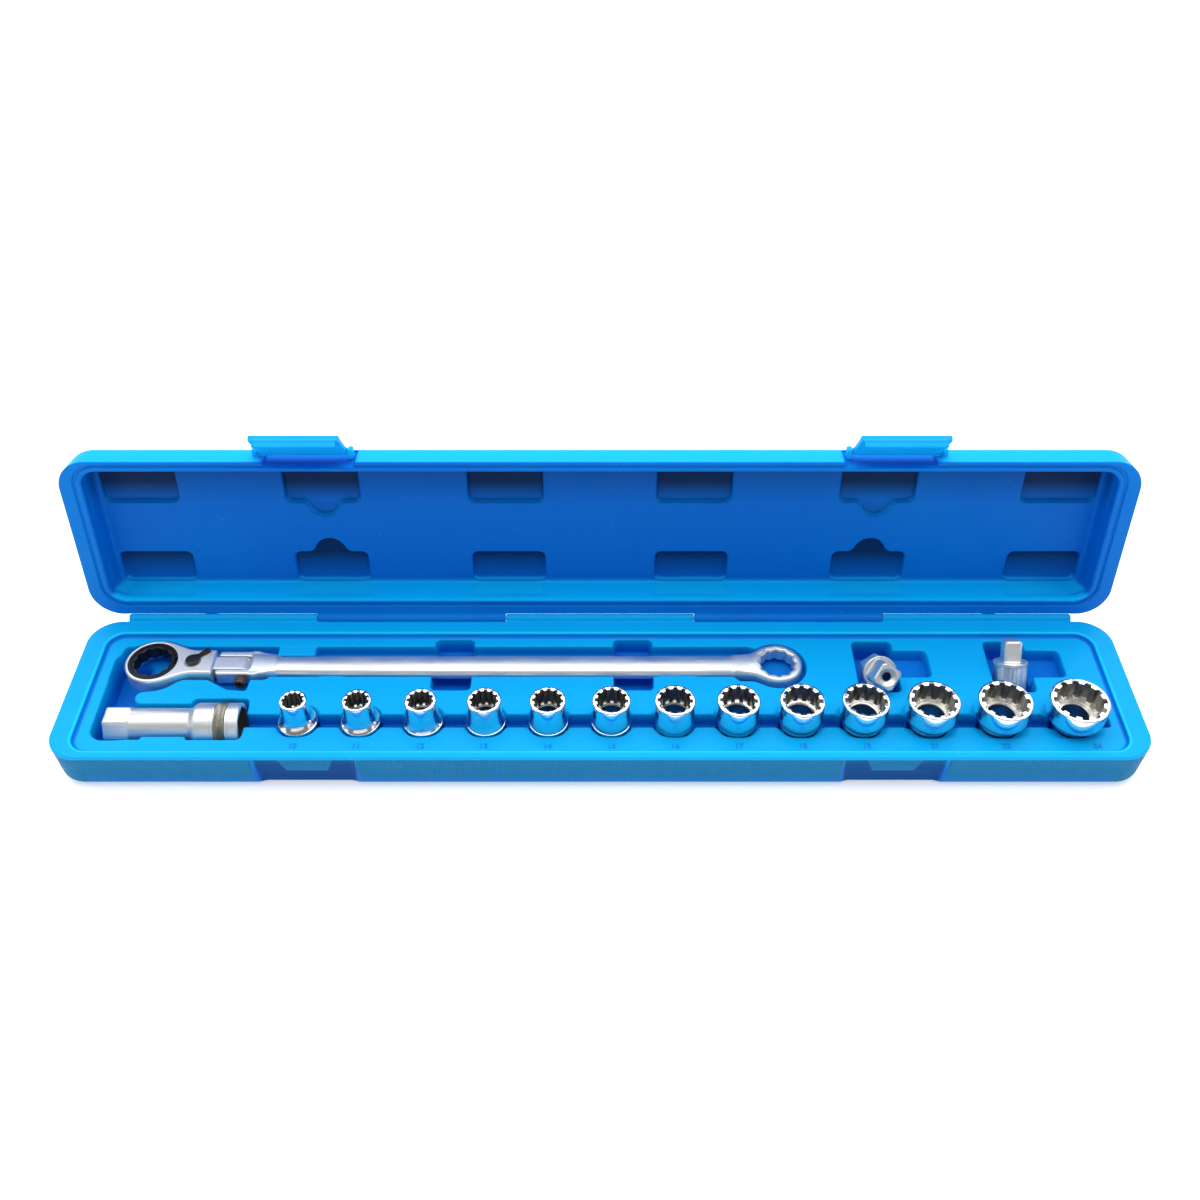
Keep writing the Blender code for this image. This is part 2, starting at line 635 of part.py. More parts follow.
def latch(side, hinge):
    """A moulded plate with a barrel at its hinge and an inward hook at its free end."""
    label = "left" if side < 0 else "right"
    axis = new_empty(f"latch_axis_{label}",
                     (side * LATCH_X, LATCH_AXIS_Y - HINGE_Y, LATCH_AXIS_RISE),
                     (-LATCH_OPEN_ANGLE, 0, 0), hinge)
    half, inner = LATCH_WIDTH / 2, LATCH_PLATE_INNER
    plate = rounded_box_mesh("latch_plate_" + label, (-half, inner - LATCH_THICKNESS, -LATCH_LENGTH),
                             (half, inner, 0), 0.8, segments=2)
    body = add_object("latch_" + label, plate, OBJECT, "latch_blue")
    place(body, parent=axis)
    boolean(body, along_x("latch_barrel_" + label, LATCH_BARREL_RADIUS, -half, half, 16, 0, 0,
                          axis), "UNION")
    hook = rounded_box_mesh("latch_hook_" + label, (-half + 2, inner - 1.0, -LATCH_LENGTH),
                            (half - 2, inner + 3.2, -LATCH_LENGTH + 2.0))
    boolean(body, cutter("latch_hook_" + label, hook, parent=axis), "UNION")
    boolean(body, along_x("latch_bore_" + label, LATCH_PIN_RADIUS + 0.35, -half - 1, half + 1,
                          12, 0, 0, axis))
    pin = add_object("latch_pin_" + label, cylinder_mesh(
        "latch_pin_" + label, LATCH_PIN_RADIUS, LATCH_WIDTH + 5.6, 12), OBJECT, "spring_steel")
    place(pin, (side * LATCH_X, LATCH_AXIS_Y - HINGE_Y, LATCH_AXIS_RISE), (0, 90, 0), hinge)


def new_empty(name, location, rotation=(0, 0, 0), parent=None):
    made = bpy.data.objects.new(name, None)
    OBJECT.objects.link(made)
    return place(made, location, rotation, parent)


def build_case():
    base_shell()
    pin = add_object("hinge_pin", cylinder_mesh(
        "hinge_pin", HINGE_PIN_RADIUS, HINGE_LENGTH, 12), OBJECT, "spring_steel")
    place(pin, (0, HINGE_Y, HINGE_Z), (0, 90, 0))
    hinge = new_empty("lid_hinge", (0, HINGE_Y, HINGE_Z), (-LID_OPEN_ANGLE, 0, 0))
    lid_shell(hinge)
    for side in (-1, 1):
        latch(side, hinge)


def wrench_handle(frame):
    """Bar, fixed 12-point ring and fork, forged as one."""
    low, high = HANDLE_TOP - HANDLE_THICKNESS, HANDLE_TOP
    bar = rounded_box_mesh("wrench_handle", (FORK_END_X - 4.0, -HANDLE_WIDTH / 2, low),
                           (FIXED_RING_X - 8.0, HANDLE_WIDTH / 2, high))
    bm = bmesh.new()
    bm.from_mesh(bar)
    long_edges = [e for e in bm.edges if abs(e.verts[0].co.x - e.verts[1].co.x) > 0.1]
    bmesh.ops.bevel(bm, geom=long_edges, offset=HANDLE_EDGE * MM, segments=3, profile=0.5,
                    affect="EDGES")
    body = add_object("wrench_handle", mesh_from(bm, "wrench_handle", 40), OBJECT,
                      "satin_chrome")
    place(body, parent=frame)
    ring_low = FIXED_RING_TOP - FIXED_RING_THICKNESS
    boolean(body, cutter("fixed_ring", cylinder_mesh(
        "fixed_ring", FIXED_RING_RADIUS, FIXED_RING_THICKNESS, 36),
        (FIXED_RING_X, 0, ring_low + FIXED_RING_THICKNESS / 2), parent=frame), "UNION")
    flare = [(FIXED_RING_X - 26.0, -6.0), (FIXED_RING_X - 8.0, -10.6),
             (FIXED_RING_X - 8.0, 10.6), (FIXED_RING_X - 26.0, 6.0)]
    boolean(body, cutter("ring_flare", outline_prism_mesh(
        "ring_flare", flare, low + 0.1, high - 0.4), parent=frame), "UNION")
    half = FORK_WIDTH / 2
    fork = [(FORK_START_X, -half), (FORK_END_X - 5.0, -half), (FORK_END_X + 6.0, -6.0),
            (FORK_END_X + 6.0, 6.0), (FORK_END_X - 5.0, half), (FORK_START_X, half)]
    boolean(body, cutter("fork_block", outline_prism_mesh(
        "fork_block", fork, FORK_BOTTOM, FORK_TOP), parent=frame), "UNION")
    boolean(body, cutter("fork_slot", rounded_box_mesh(
        "fork_slot", (FORK_START_X - 2.0, -FORK_SLOT / 2, 0.0),
        (PIVOT_X + TONGUE_ROUND + 0.5, FORK_SLOT / 2, 40.0)), parent=frame))
    boolean(body, cutter("pivot_bore", cylinder_mesh("pivot_bore", PIVOT_RADIUS + 0.3, 30.0, 16),
                         (PIVOT_X, 0, PIVOT_Z), (90, 0, 0), frame))
    boolean(body, along_x("detent_bore", DETENT_RADIUS + 0.3, PIVOT_X + TONGUE_ROUND,
                          DETENT_END_X + 0.4, 12, 0, PIVOT_Z, frame))
    boolean(body, cutter("fixed_ring_bore", outline_prism_mesh(
        "fixed_ring_bore", double_hex(FIXED_RING_AF), -15.0, 15.0),
        (FIXED_RING_X, 0, 22.0), parent=frame))


def flex_head(frame):
    """Ratchet housing: an open ring, a neck and the tongue that turns in the fork."""
    low = HEAD_TOP - HEAD_THICKNESS
    body = add_object("flex_head", cylinder_mesh(
        "flex_head", HEAD_RADIUS, HEAD_THICKNESS, 36), OBJECT, "satin_chrome")
    place(body, (HEAD_X - PIVOT_X, 0, low + HEAD_THICKNESS / 2 - PIVOT_Z), parent=frame)
    half = NECK_WIDTH / 2
    neck = [(HEAD_X + 5.0, -HEAD_RADIUS + 1.2), (HEAD_X + 12.0, -half - 2.6),
            (HEAD_X + 20.0, -half), (FORK_START_X - 1.6, -half), (FORK_START_X - 1.6, half),
            (HEAD_X + 20.0, half), (HEAD_X + 12.0, half + 2.6), (HEAD_X + 5.0, HEAD_RADIUS - 1.2)]
    boolean(body, cutter("head_neck", outline_prism_mesh(
        "head_neck", [(x - PIVOT_X, y) for x, y in neck], low + 0.4 - PIVOT_Z,
        HEAD_TOP - 0.5 - PIVOT_Z), parent=frame), "UNION")
    tongue = TONGUE_WIDTH / 2
    boolean(body, cutter("tongue", rounded_box_mesh(
        "tongue", (FORK_START_X - 3.0 - PIVOT_X, -tongue, -TONGUE_ROUND),
        (0, tongue, TONGUE_ROUND)), parent=frame), "UNION")
    boolean(body, cutter("tongue_end", cylinder_mesh("tongue_end", TONGUE_ROUND, 2 * tongue, 24),
                         (0, 0, 0), (90, 0, 0), frame), "UNION")
    boolean(body, cutter("tongue_bore", cylinder_mesh("tongue_bore", PIVOT_RADIUS + 0.3, 30.0, 16),
                         (0, 0, 0), (90, 0, 0), frame))
    x = HEAD_X - PIVOT_X
    gear_seat = GEAR_BOTTOM - PART_GAP - PIVOT_Z
    boolean(body, cutter("gear_well", cylinder_mesh("gear_well", GEAR_RADIUS + PART_GAP, 20.0, 36),
                         (x, 0, gear_seat + 10.0), parent=frame))
    boolean(body, cutter("gear_opening", cylinder_mesh(
        "gear_opening", GEAR_LIP_RADIUS, 40.0, 24), (x, 0, 0), parent=frame))
    boolean(body, cutter("pawl_well", rounded_box_mesh(
        "pawl_well", (x + 11.0, -4.6, gear_seat),
        (LEVER_X + 2.8 - PIVOT_X, 4.6, PAWL_TOP + 0.4 - PIVOT_Z)), parent=frame))
    boolean(body, cutter("lever_bore", cylinder_mesh("lever_bore", LEVER_SHAFT_RADIUS + 0.3, 8.0, 16),
                         (LEVER_X - PIVOT_X, 0, HEAD_TOP - PIVOT_Z), parent=frame))


def ratchet_gear(frame):
    teeth = []
    for i in range(GEAR_TEETH):
        for share, radius in ((0.0, GEAR_RADIUS - 0.9), (0.5, GEAR_RADIUS)):
            angle = math.tau * (i + share) / GEAR_TEETH
            teeth.append((radius * math.cos(angle), radius * math.sin(angle)))
    body = add_object("ratchet_gear", outline_prism_mesh(
        "ratchet_gear", teeth, GEAR_BOTTOM, GEAR_SHOULDER), OBJECT, "black_steel")
    place(body, parent=frame)
    hub = cylinder_mesh("gear_hub", RETAINER_INNER - PART_GAP, 2.0, 24)
    boolean(body, cutter("gear_hub", hub, (0, 0, GEAR_TOP - 1.0), parent=frame), "UNION")
    boolean(body, cutter("gear_bore", outline_prism_mesh(
        "gear_bore", double_hex(RING_AF), 0.0, 40.0), parent=frame))


def retaining_ring(frame):
    """A flat spring ring with a gap, snapped in above the gear's teeth."""
    points = []
    steps = 30
    for radius, order in ((GEAR_RADIUS, 1), (RETAINER_INNER, -1)):
        arc = [math.radians(12 + 336 * i / steps) for i in range(steps + 1)][::order]
        points += [(radius * math.cos(a), radius * math.sin(a)) for a in arc]
    body = add_object("gear_retaining_ring", outline_prism_mesh(
        "gear_retaining_ring", points, GEAR_SHOULDER + PART_GAP, GEAR_TOP), OBJECT,
        "black_steel")
    place(body, (HEAD_X - PIVOT_X, 0, -PIVOT_Z), parent=frame)


def coil_mesh(name, radius, wire, length, turns):
    """A coil along X, as a tube along a helix."""
    curve = bpy.data.curves.new(name, "CURVE")
    curve.dimensions = "3D"
    curve.bevel_depth = wire / 2 * MM
    curve.bevel_resolution = 0
    curve.use_fill_caps = True
    steps = int(turns * 8)
    spline = curve.splines.new("POLY")
    spline.points.add(steps)
    for i, point in enumerate(spline.points):
        angle = math.tau * turns * i / steps
        point.co = (length * i / steps * MM, radius * math.cos(angle) * MM,
                    radius * math.sin(angle) * MM, 1)
    temporary = bpy.data.objects.new(name + "_curve", curve)
    bpy.context.scene.collection.objects.link(temporary)
    graph = bpy.context.evaluated_depsgraph_get()
    mesh = bpy.data.meshes.new_from_object(temporary.evaluated_get(graph))
    bpy.data.objects.remove(temporary)
    bm = bmesh.new()
    bm.from_mesh(mesh)
    bmesh.ops.remove_doubles(bm, verts=bm.verts, dist=0.00001)
    return mesh_from(bm, name, 60)


def ball(name, radius, location, parent):
    bm = bmesh.new()
    bmesh.ops.create_uvsphere(bm, u_segments=8, v_segments=6, radius=radius * MM)
    return place(add_object(name, mesh_from(bm, name, 60), OBJECT, "spring_steel"), location,
                 parent=parent)


def pawl_and_lever(frame):
    x = HEAD_X - PIVOT_X
    face = x + GEAR_RADIUS + 0.4
    outline = [(face + 0.9, -3.8), (face + 4.4, -2.6), (face + 4.4, 2.6), (face + 0.9, 3.8),
               (face + 0.2, 1.9), (face + 0.6, 0.9), (face, 0.0), (face + 0.6, -0.9),
               (face + 0.2, -1.9)]
    pawl = add_object("pawl", outline_prism_mesh(
        "pawl", outline, GEAR_BOTTOM + 0.1 - PIVOT_Z, PAWL_TOP - PIVOT_Z), OBJECT, "black_steel")
    place(pawl, parent=frame)
    spring_start = face + 4.8
    spring_end = LEVER_X - PIVOT_X - LEVER_SHAFT_RADIUS - 0.7
    spring = add_object("pawl_spring", coil_mesh(
        "pawl_spring", 0.9, COIL_WIRE, spring_end - spring_start, 3),
        OBJECT, "spring_steel")
    place(spring, (spring_start, 0, GEAR_BOTTOM + 2.6 - PIVOT_Z), parent=frame)
    pivot = new_empty("lever_axis", (LEVER_X - PIVOT_X, 0, -PIVOT_Z), parent=frame)
    low = HEAD_TOP - 0.2
    hub = LEVER_HUB_RADIUS
    lever = add_object("reversing_lever", turned_mesh("reversing_lever", [
        (0, low + 1.9), (hub - 0.5, low + 1.9), (hub, low + 1.4), (hub, low),
        (LEVER_SHAFT_RADIUS, low), (LEVER_SHAFT_RADIUS, GEAR_BOTTOM + 0.4),
        (0, GEAR_BOTTOM + 0.4)], 24), OBJECT, "black_steel")
    place(lever, parent=pivot)
    reach = LEVER_REACH
    arm = [(2.4, -2.0), (reach - 1.8, -1.7), (reach, -0.9), (reach, 0.9), (reach - 1.8, 1.7),
           (2.4, 2.0)]
    boolean(lever, cutter("lever_arm", outline_prism_mesh("lever_arm", arm, low, low + 1.7),
                          (0, 0, 0), (0, 0, LEVER_REST_TURN), pivot), "UNION")


def pivot_parts(frame):
    half, head, top = FORK_WIDTH / 2, SCREW_HEAD_RADIUS, FORK_WIDTH / 2 + SCREW_HEAD_HEIGHT
    profile = [(0, top), (head - 0.6, top), (head, top - 0.6), (head, half + PART_GAP),
               (PIVOT_RADIUS, half + PART_GAP), (PIVOT_RADIUS, -half + 0.4), (0, -half + 0.4)]
    screw = add_object("pivot_screw", turned_mesh("pivot_screw", profile, 16), OBJECT,
                       "black_steel")
    place(screw, (PIVOT_X, 0, PIVOT_Z), (90, 0, 0), frame)
    ball("detent_ball", DETENT_RADIUS - 0.1, (PIVOT_X + TONGUE_ROUND + 0.4 + DETENT_RADIUS, 0,
                                              PIVOT_Z), frame)
    start = PIVOT_X + TONGUE_ROUND + 2 * DETENT_RADIUS + 0.9
    spring = add_object("detent_spring", coil_mesh(
        "detent_spring", DETENT_RADIUS - 0.4, COIL_WIRE, DETENT_END_X - start - 0.3, 3), OBJECT,
        "spring_steel")
    place(spring, (start, 0, PIVOT_Z), parent=frame)


def build_wrench():
    frame = new_empty("wrench_frame", (0, WRENCH_Y, 0))
    wrench_handle(frame)
    pivot_parts(frame)
    pivot = new_empty("flex_axis", (PIVOT_X, 0, PIVOT_Z), parent=frame)
    flex_head(pivot)
    retaining_ring(pivot)
    pawl_and_lever(pivot)
    gear_axis = new_empty("gear_axis", (HEAD_X - PIVOT_X, 0, -PIVOT_Z), parent=pivot)
    ratchet_gear(gear_axis)


def socket(size, x):
    outer = socket_outer_radius(size)
    name = f"socket_{size}mm"
    waist = SOCKET_SEAT_Z + 5.0 if outer < FLANGE_RADIUS else SOCKET_RIM_Z - 10.0
    profile = [(0, SOCKET_RIM_Z), (outer, SOCKET_RIM_Z), (outer, waist),
               (FLANGE_RADIUS, SOCKET_SEAT_Z + 1.8), (FLANGE_RADIUS, SOCKET_SEAT_Z),
               (0, SOCKET_SEAT_Z)]
    body = add_object(name, turned_mesh(name, profile, 20), OBJECT, "bright_chrome")
    place(body, (x, SOCKET_Y, 0))
    drive = outline_prism_mesh(name + "_drive", polygon(6, DRIVE_HEX_AF),
                               SOCKET_SEAT_Z - DRIVE_LENGTH, SOCKET_SEAT_Z + 0.5)
    boolean(body, cutter(name + "_drive", drive, parent=body), "UNION")
    spline = outline_prism_mesh(name + "_spline", spline_outline(size * 0.5, size * 0.575),
                                SOCKET_RIM_Z - SPLINE_DEPTH, SOCKET_RIM_Z + 1.0)
    boolean(body, cutter(name + "_spline", spline, parent=body))
    bore = cylinder_mesh(name + "_bore", min(size / 2 - 0.7, THROUGH_BORE_RADIUS), 60.0, 12)
    boolean(body, cutter(name + "_bore", bore, (0, 0, SOCKET_SEAT_Z), parent=body))


def build_extension():
    frame = new_empty("extension_axis", (EXTENSION_X, SOCKET_Y, EXTENSION_Z), (0, 90, 0))
    end = EXTENSION_LENGTH
    groove, shaft_start = SLEEVE_RADIUS - KNURL_DEPTH, MALE_LENGTH - 0.6
    profile = [(0, end), (SLEEVE_RADIUS - 0.5, end), (SLEEVE_RADIUS, end - 0.5),
               (SLEEVE_RADIUS, KNURL_END), (groove, KNURL_END), (groove, KNURL_START),
               (SLEEVE_RADIUS, KNURL_START), (SLEEVE_RADIUS, SLEEVE_START),
               (SHAFT_RADIUS, SHAFT_SHOULDER), (SHAFT_RADIUS, shaft_start), (0, shaft_start)]
    body = add_object("extension_bar", turned_mesh("extension_bar", profile, 24), OBJECT,
                      "satin_chrome")
    place(body, parent=frame)
    male = outline_prism_mesh("extension_male", polygon(6, DRIVE_HEX_AF), 0.0, MALE_LENGTH)
    boolean(body, cutter("extension_male", male, parent=frame), "UNION")
    female = outline_prism_mesh("extension_female", polygon(6, DRIVE_HEX_AF + 0.4),
                                end - FEMALE_DEPTH, end + 2.0)
    boolean(body, cutter("extension_female", female, parent=frame))
    outer, inner = SLEEVE_RADIUS + 0.2, groove + PART_GAP
    upper, lower = KNURL_END - PART_GAP, KNURL_START + PART_GAP
    ring_profile = [(outer, upper), (outer, lower), (inner, lower), (inner, upper)]
    ring = add_object("knurled_ring", turned_mesh("knurled_ring", ring_profile, 24), OBJECT,
                      "black_steel")
    place(ring, parent=frame)


def adapter(name, drive, location, rotation, bore_radius):
    """A hexagon body, a round flange and a square drive with a sprung ball in one side."""
    frame = new_empty(name + "_frame", location, rotation)
    body = add_object(name, outline_prism_mesh(
        name, polygon(6, ADAPTER_BODY_AF), -ADAPTER_BODY_LENGTH, 0.5), OBJECT, "bright_chrome")
    place(body, parent=frame)
    rim, top = ADAPTER_FLANGE_RADIUS, ADAPTER_FLANGE
    flange = turned_mesh(name + "_flange", [(0, top), (rim - 0.5, top), (rim, top - 0.5),
                                            (rim, 0.0), (0, 0.0)], 20)
    boolean(body, cutter(name + "_flange", flange, parent=frame), "UNION")
    half, trim = drive / 2, drive * 0.12
    corners = [(half, half - trim), (half - trim, half)]
    outline = []
    for turn in range(4):
        for x, y in corners:
            outline.append([(x, y), (-y, x), (-x, -y), (y, -x)][turn])
    square = outline_prism_mesh(name + "_square", outline, top - 0.4, top + drive_length(drive))
    boolean(body, cutter(name + "_square", square, parent=frame), "UNION")
    if bore_radius:
        boolean(body, cutter(name + "_bore", cylinder_mesh(name + "_bore", bore_radius, 80.0, 16),
                             parent=frame))
    ball_radius, height = drive * 0.16, top + drive_length(drive) * 0.55
    pit = -half + drive * 0.36
    boolean(body, along_x(name + "_ball_bore", ball_radius + PART_GAP, -half - 1.0, pit, 12,
                          0, height, frame))
    ball(name + "_ball", ball_radius, (-half + ball_radius * 0.45, 0, height), frame)


def drive_length(drive):
    return 6.0 + 0.6 * drive


def build_adapters():
    adapter("adapter_large", LARGE_DRIVE, (ADAPTER_X[0] + 0.6, 10.5, 24.4), (52.0, 0, 5.0), 2.4)
    adapter("adapter_small", SMALL_DRIVE, (ADAPTER_X[1] - 0.5, 15.4, 25.2), (-33.0, 0, 0), None)


clear_scene()
OBJECT = new_collection("socket_wrench_set_in_case")
CUTTERS = new_collection("cutters", hidden=True)
build_case()
build_wrench()
for socket_size, socket_x in socket_places():
    socket(socket_size, socket_x)
build_extension()
build_adapters()
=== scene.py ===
"""Looks of the socket wrench set in its case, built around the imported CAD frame.

Lengths are millimetres unless a comment says metres, and MM turns them into metres where
Blender needs them. Moulded and forged pieces are drawn as signed distances on a grid and
skinned. Turned pieces are rings of points, joined one to the next.
"""

import math

import bmesh
import bpy
import numpy as np
from mathutils import Matrix, Vector


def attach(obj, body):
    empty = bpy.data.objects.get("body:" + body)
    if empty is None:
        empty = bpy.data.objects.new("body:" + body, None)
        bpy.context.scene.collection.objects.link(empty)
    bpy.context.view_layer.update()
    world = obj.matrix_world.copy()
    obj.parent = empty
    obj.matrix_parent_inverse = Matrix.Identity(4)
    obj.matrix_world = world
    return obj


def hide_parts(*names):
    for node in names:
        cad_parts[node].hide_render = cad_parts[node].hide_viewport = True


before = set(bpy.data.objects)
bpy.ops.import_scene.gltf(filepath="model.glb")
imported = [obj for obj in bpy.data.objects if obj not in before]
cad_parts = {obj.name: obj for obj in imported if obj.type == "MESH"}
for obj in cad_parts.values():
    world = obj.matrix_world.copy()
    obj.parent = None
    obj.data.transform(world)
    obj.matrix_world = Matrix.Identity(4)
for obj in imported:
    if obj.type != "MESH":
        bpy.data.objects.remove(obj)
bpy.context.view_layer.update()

MM = 0.001

# The case, closed: outlines (low corner, high corner, corner radius), heights, latch hollows
CASE = ((-290, -50), (290, 50), 17)
RECESS = ((-277.5, -44.1), (277.5, 39.2), 9.0)
BASE_TOP, PLATEAU = 25, 22.5
LID_RIM, LID_FLOOR, LID_TOP = 25.3, 41.0, 45
SEAT_X = 154.5
HINGE_Y, HINGE_Z = 52.2, 25.0
SOCKET_Y, WRENCH_Y = -22.3, 17.5

# -------- distances on a grid


def round_max(a, b, radius=0.0):
    """Intersection of two distances, with the corner they make rounded."""
    if radius <= 0:
        return np.maximum(a, b)
    corner = np.hypot(np.maximum(a + radius, 0), np.maximum(b + radius, 0))
    return np.minimum(-radius, np.maximum(a, b)) + corner


def round_min(a, b, radius=0.0):
    return -round_max(-a, -b, radius)


def rect(x, y, low, high, corner=0.0):
    """Distance to a rectangle between two corners, its own corners rounded."""
    a = np.abs(x - (low[0] + high[0]) / 2) - (high[0] - low[0]) / 2 + corner
    b = np.abs(y - (low[1] + high[1]) / 2) - (high[1] - low[1]) / 2 + corner
    outside = np.hypot(np.maximum(a, 0), np.maximum(b, 0))
    return outside + np.minimum(np.maximum(a, b), 0) - corner


def disc(x, y, cx, cy, radius):
    return np.hypot(x - cx, y - cy) - radius


def outline(x, y, points):
    """Distance to a closed polygon, negative inside."""
    x, y = np.broadcast_arrays(x, y)
    nearest = np.full(x.shape, np.inf)
    inside = np.zeros(x.shape, bool)
    for (ax, ay), (bx, by) in zip(points, points[1:] + points[:1]):
        ex, ey = bx - ax, by - ay
        t = np.clip(((x - ax) * ex + (y - ay) * ey) / (ex * ex + ey * ey), 0, 1)
        nearest = np.minimum(nearest, np.hypot(x - ax - t * ex, y - ay - t * ey))
        crosses = (ay > y) != (by > y)
        slope = (bx - ax) / (by - ay) if by != ay else 0.0
        inside ^= crosses & (x < ax + slope * (y - ay))
    return np.where(inside, -nearest, nearest)


def spans(*pieces):
    """Grid positions from (start, end, step) pieces that follow one another."""
    points = []
    for start, end, step in pieces:
        count = max(1, round((end - start) / step))
        points += list(np.linspace(start, end, count, endpoint=False))
    return np.array(points + [pieces[-1][1]])


FAR = 30.0


class Field:
    """A solid as signed distances in millimetres on a grid, negative inside."""

    def __init__(self, xs, ys, zs):
        self.axes = (xs, ys, zs)
        self.values = np.full((len(xs), len(ys), len(zs)), FAR, np.float32)

    def fill(self, values):
        self.values = values.astype(np.float32)

    def window(self, low, high):
        """The part of the grid round a box, with its positions ready to broadcast."""
        cut = []
        for axis, a, b in zip(self.axes, low, high):
            start = max(0, int(np.searchsorted(axis, a)) - 2)
            cut.append(slice(start, int(np.searchsorted(axis, b)) + 2))
        x, y, z = (axis[part] for axis, part in zip(self.axes, cut))
        return tuple(cut), (x[:, None, None], y[None, :, None], z[None, None, :])

    def whole(self):
        x, y, z = self.axes
        return x[:, None, None], y[None, :, None], z[None, None, :]

    def join(self, low, high, shape, radius=0.0):
        cut, grid = self.window(low, high)
        self.values[cut] = round_min(self.values[cut], shape(*grid), radius)

    def carve(self, low, high, shape, radius=0.0):
        cut, grid = self.window(low, high)
        self.values[cut] = round_max(self.values[cut], -shape(*grid), radius)

    def sample(self, points):
        """Distances at any points, read between the grid's own."""
        found, share = [], []
        for column, axis in zip(points.T, self.axes):
            i = np.clip(np.searchsorted(axis, column) - 1, 0, len(axis) - 2)
            found.append(i)
            share.append((column - axis[i]) / (axis[i + 1] - axis[i]))
        total = np.zeros(len(points))
        for corner in np.ndindex(2, 2, 2):
            weight = np.ones(len(points))
            index = []
            for c, i, t in zip(corner, found, share):
                weight = weight * (t if c else 1 - t)
                index.append(i + c)
            total += weight * self.values[tuple(index)]
        return total

    def skin(self):
        """Points and four-sided faces of the surface where the distance is zero."""
        values = self.values
        inside = values < 0
        nx, ny, nz = values.shape
        corners = np.zeros((nx - 1, ny - 1, nz - 1), np.int8)
        for a, b, c in np.ndindex(2, 2, 2):
            corners += inside[a:nx - 1 + a, b:ny - 1 + b, c:nz - 1 + c]
        active = (corners > 0) & (corners < 8)
        cells = np.argwhere(active)
        ids = np.full(active.shape, -1, np.int32)
        ids[active] = np.arange(len(cells))
        total, hits = np.zeros((len(cells), 3)), np.zeros(len(cells))
        for axis in range(3):
            others = [n for n in range(3) if n != axis]
            for offsets in np.ndindex(2, 2):
                start = cells.copy()
                start[:, others[0]] += offsets[0]
                start[:, others[1]] += offsets[1]
                end = start.copy()
                end[:, axis] += 1
                va, vb = values[tuple(start.T)], values[tuple(end.T)]
                crossed = (va < 0) != (vb < 0)
                gap = np.where(crossed, va - vb, 1)
                t = np.where(crossed, va / gap, 0)
                spot = np.stack([self.axes[n][start[:, n]] for n in range(3)], 1)
                step = self.axes[axis][end[:, axis]] - self.axes[axis][start[:, axis]]
                spot[:, axis] += t * step
                total += spot * crossed[:, None]
                hits += crossed
        points = total / hits[:, None]
        faces = []
        for axis in range(3):
            u, v = (axis + 1) % 3, (axis + 2) % 3
            near = [slice(1, -1)] * 3
            near[axis] = slice(0, -1)
            far = list(near)
            far[axis] = slice(1, None)
            first, second = inside[tuple(near)], inside[tuple(far)]
            where = np.argwhere(first != second)
            forward = first[first != second]
            offset = np.ones(3, int)
            offset[axis] = 0
            where = where + offset
            ring = []
            for du, dv in ((-1, -1), (0, -1), (0, 0), (-1, 0)):
                cell = where.copy()
                cell[:, u] += du
                cell[:, v] += dv
                ring.append(ids[tuple(cell.T)])
            quads = np.stack(ring, 1)
            quads[~forward] = quads[~forward][:, ::-1]
            faces.append(quads)
        return points, np.concatenate(faces)

    def settled(self, points):
        """Points moved along the slope of the distance, onto the surface itself."""
        reach, furthest, flattest = 0.15, 0.4, 0.25
        for _ in range(2):
            here = self.sample(points)
            slope = np.zeros_like(points)
            for n in range(3):
                step = np.zeros(3)
                step[n] = reach
                slope[:, n] = self.sample(points + step) - self.sample(points - step)
            slope /= 2 * reach
            size = np.maximum((slope ** 2).sum(1), flattest)
            move = -here[:, None] * slope / size[:, None]
            points = points + np.clip(move, -furthest, furthest)
        return points


# -------- meshes


def quads_mesh(name, points, faces):
    """A smooth mesh from points in millimetres and four-sided faces."""
    faces = np.asarray(faces, np.int32)
    mesh = bpy.data.meshes.new(name)
    mesh.vertices.add(len(points))
    mesh.vertices.foreach_set("co", (np.asarray(points) * MM).astype(np.float32).ravel())
    mesh.loops.add(faces.size)
    mesh.loops.foreach_set("vertex_index", faces.ravel())
    mesh.polygons.add(len(faces))
    mesh.polygons.foreach_set("loop_start", np.arange(0, faces.size, faces.shape[1]))
    mesh.polygons.foreach_set("use_smooth", np.ones(len(faces), bool))
    mesh.update(calc_edges=True)
    mesh.validate()
    return mesh


def added(name, data):
    made = bpy.data.objects.new(name, data)
    bpy.context.scene.collection.objects.link(made)
    return made


def link(name, mesh, material):
    mesh.materials.append(material)
    return added(name, mesh)


def thinned(made, triangles):
    """The object with fewer faces where it is flat, and its normals evened."""
    made.data.calc_loop_triangles()
    before = len(made.data.loop_triangles)
    if before > triangles:
        modifier = made.modifiers.new("thin", "DECIMATE")
        modifier.ratio = triangles / before
        modifier.use_collapse_triangulate = True
    modifier = made.modifiers.new("even", "WEIGHTED_NORMAL")
    modifier.mode = "FACE_AREA"
    modifier.keep_sharp = True
    graph = bpy.context.evaluated_depsgraph_get()
    mesh = bpy.data.meshes.new_from_object(made.evaluated_get(graph))
    made.modifiers.clear()
    old, made.data = made.data, mesh
    mesh.name = old.name
    bpy.data.meshes.remove(old)
    return made


def skinned(name, field, material, triangles=190000):
    points, faces = field.skin()
    mesh = quads_mesh(name, field.settled(points), faces)
    return thinned(link(name, mesh, material), triangles)


RING_POINTS = 240


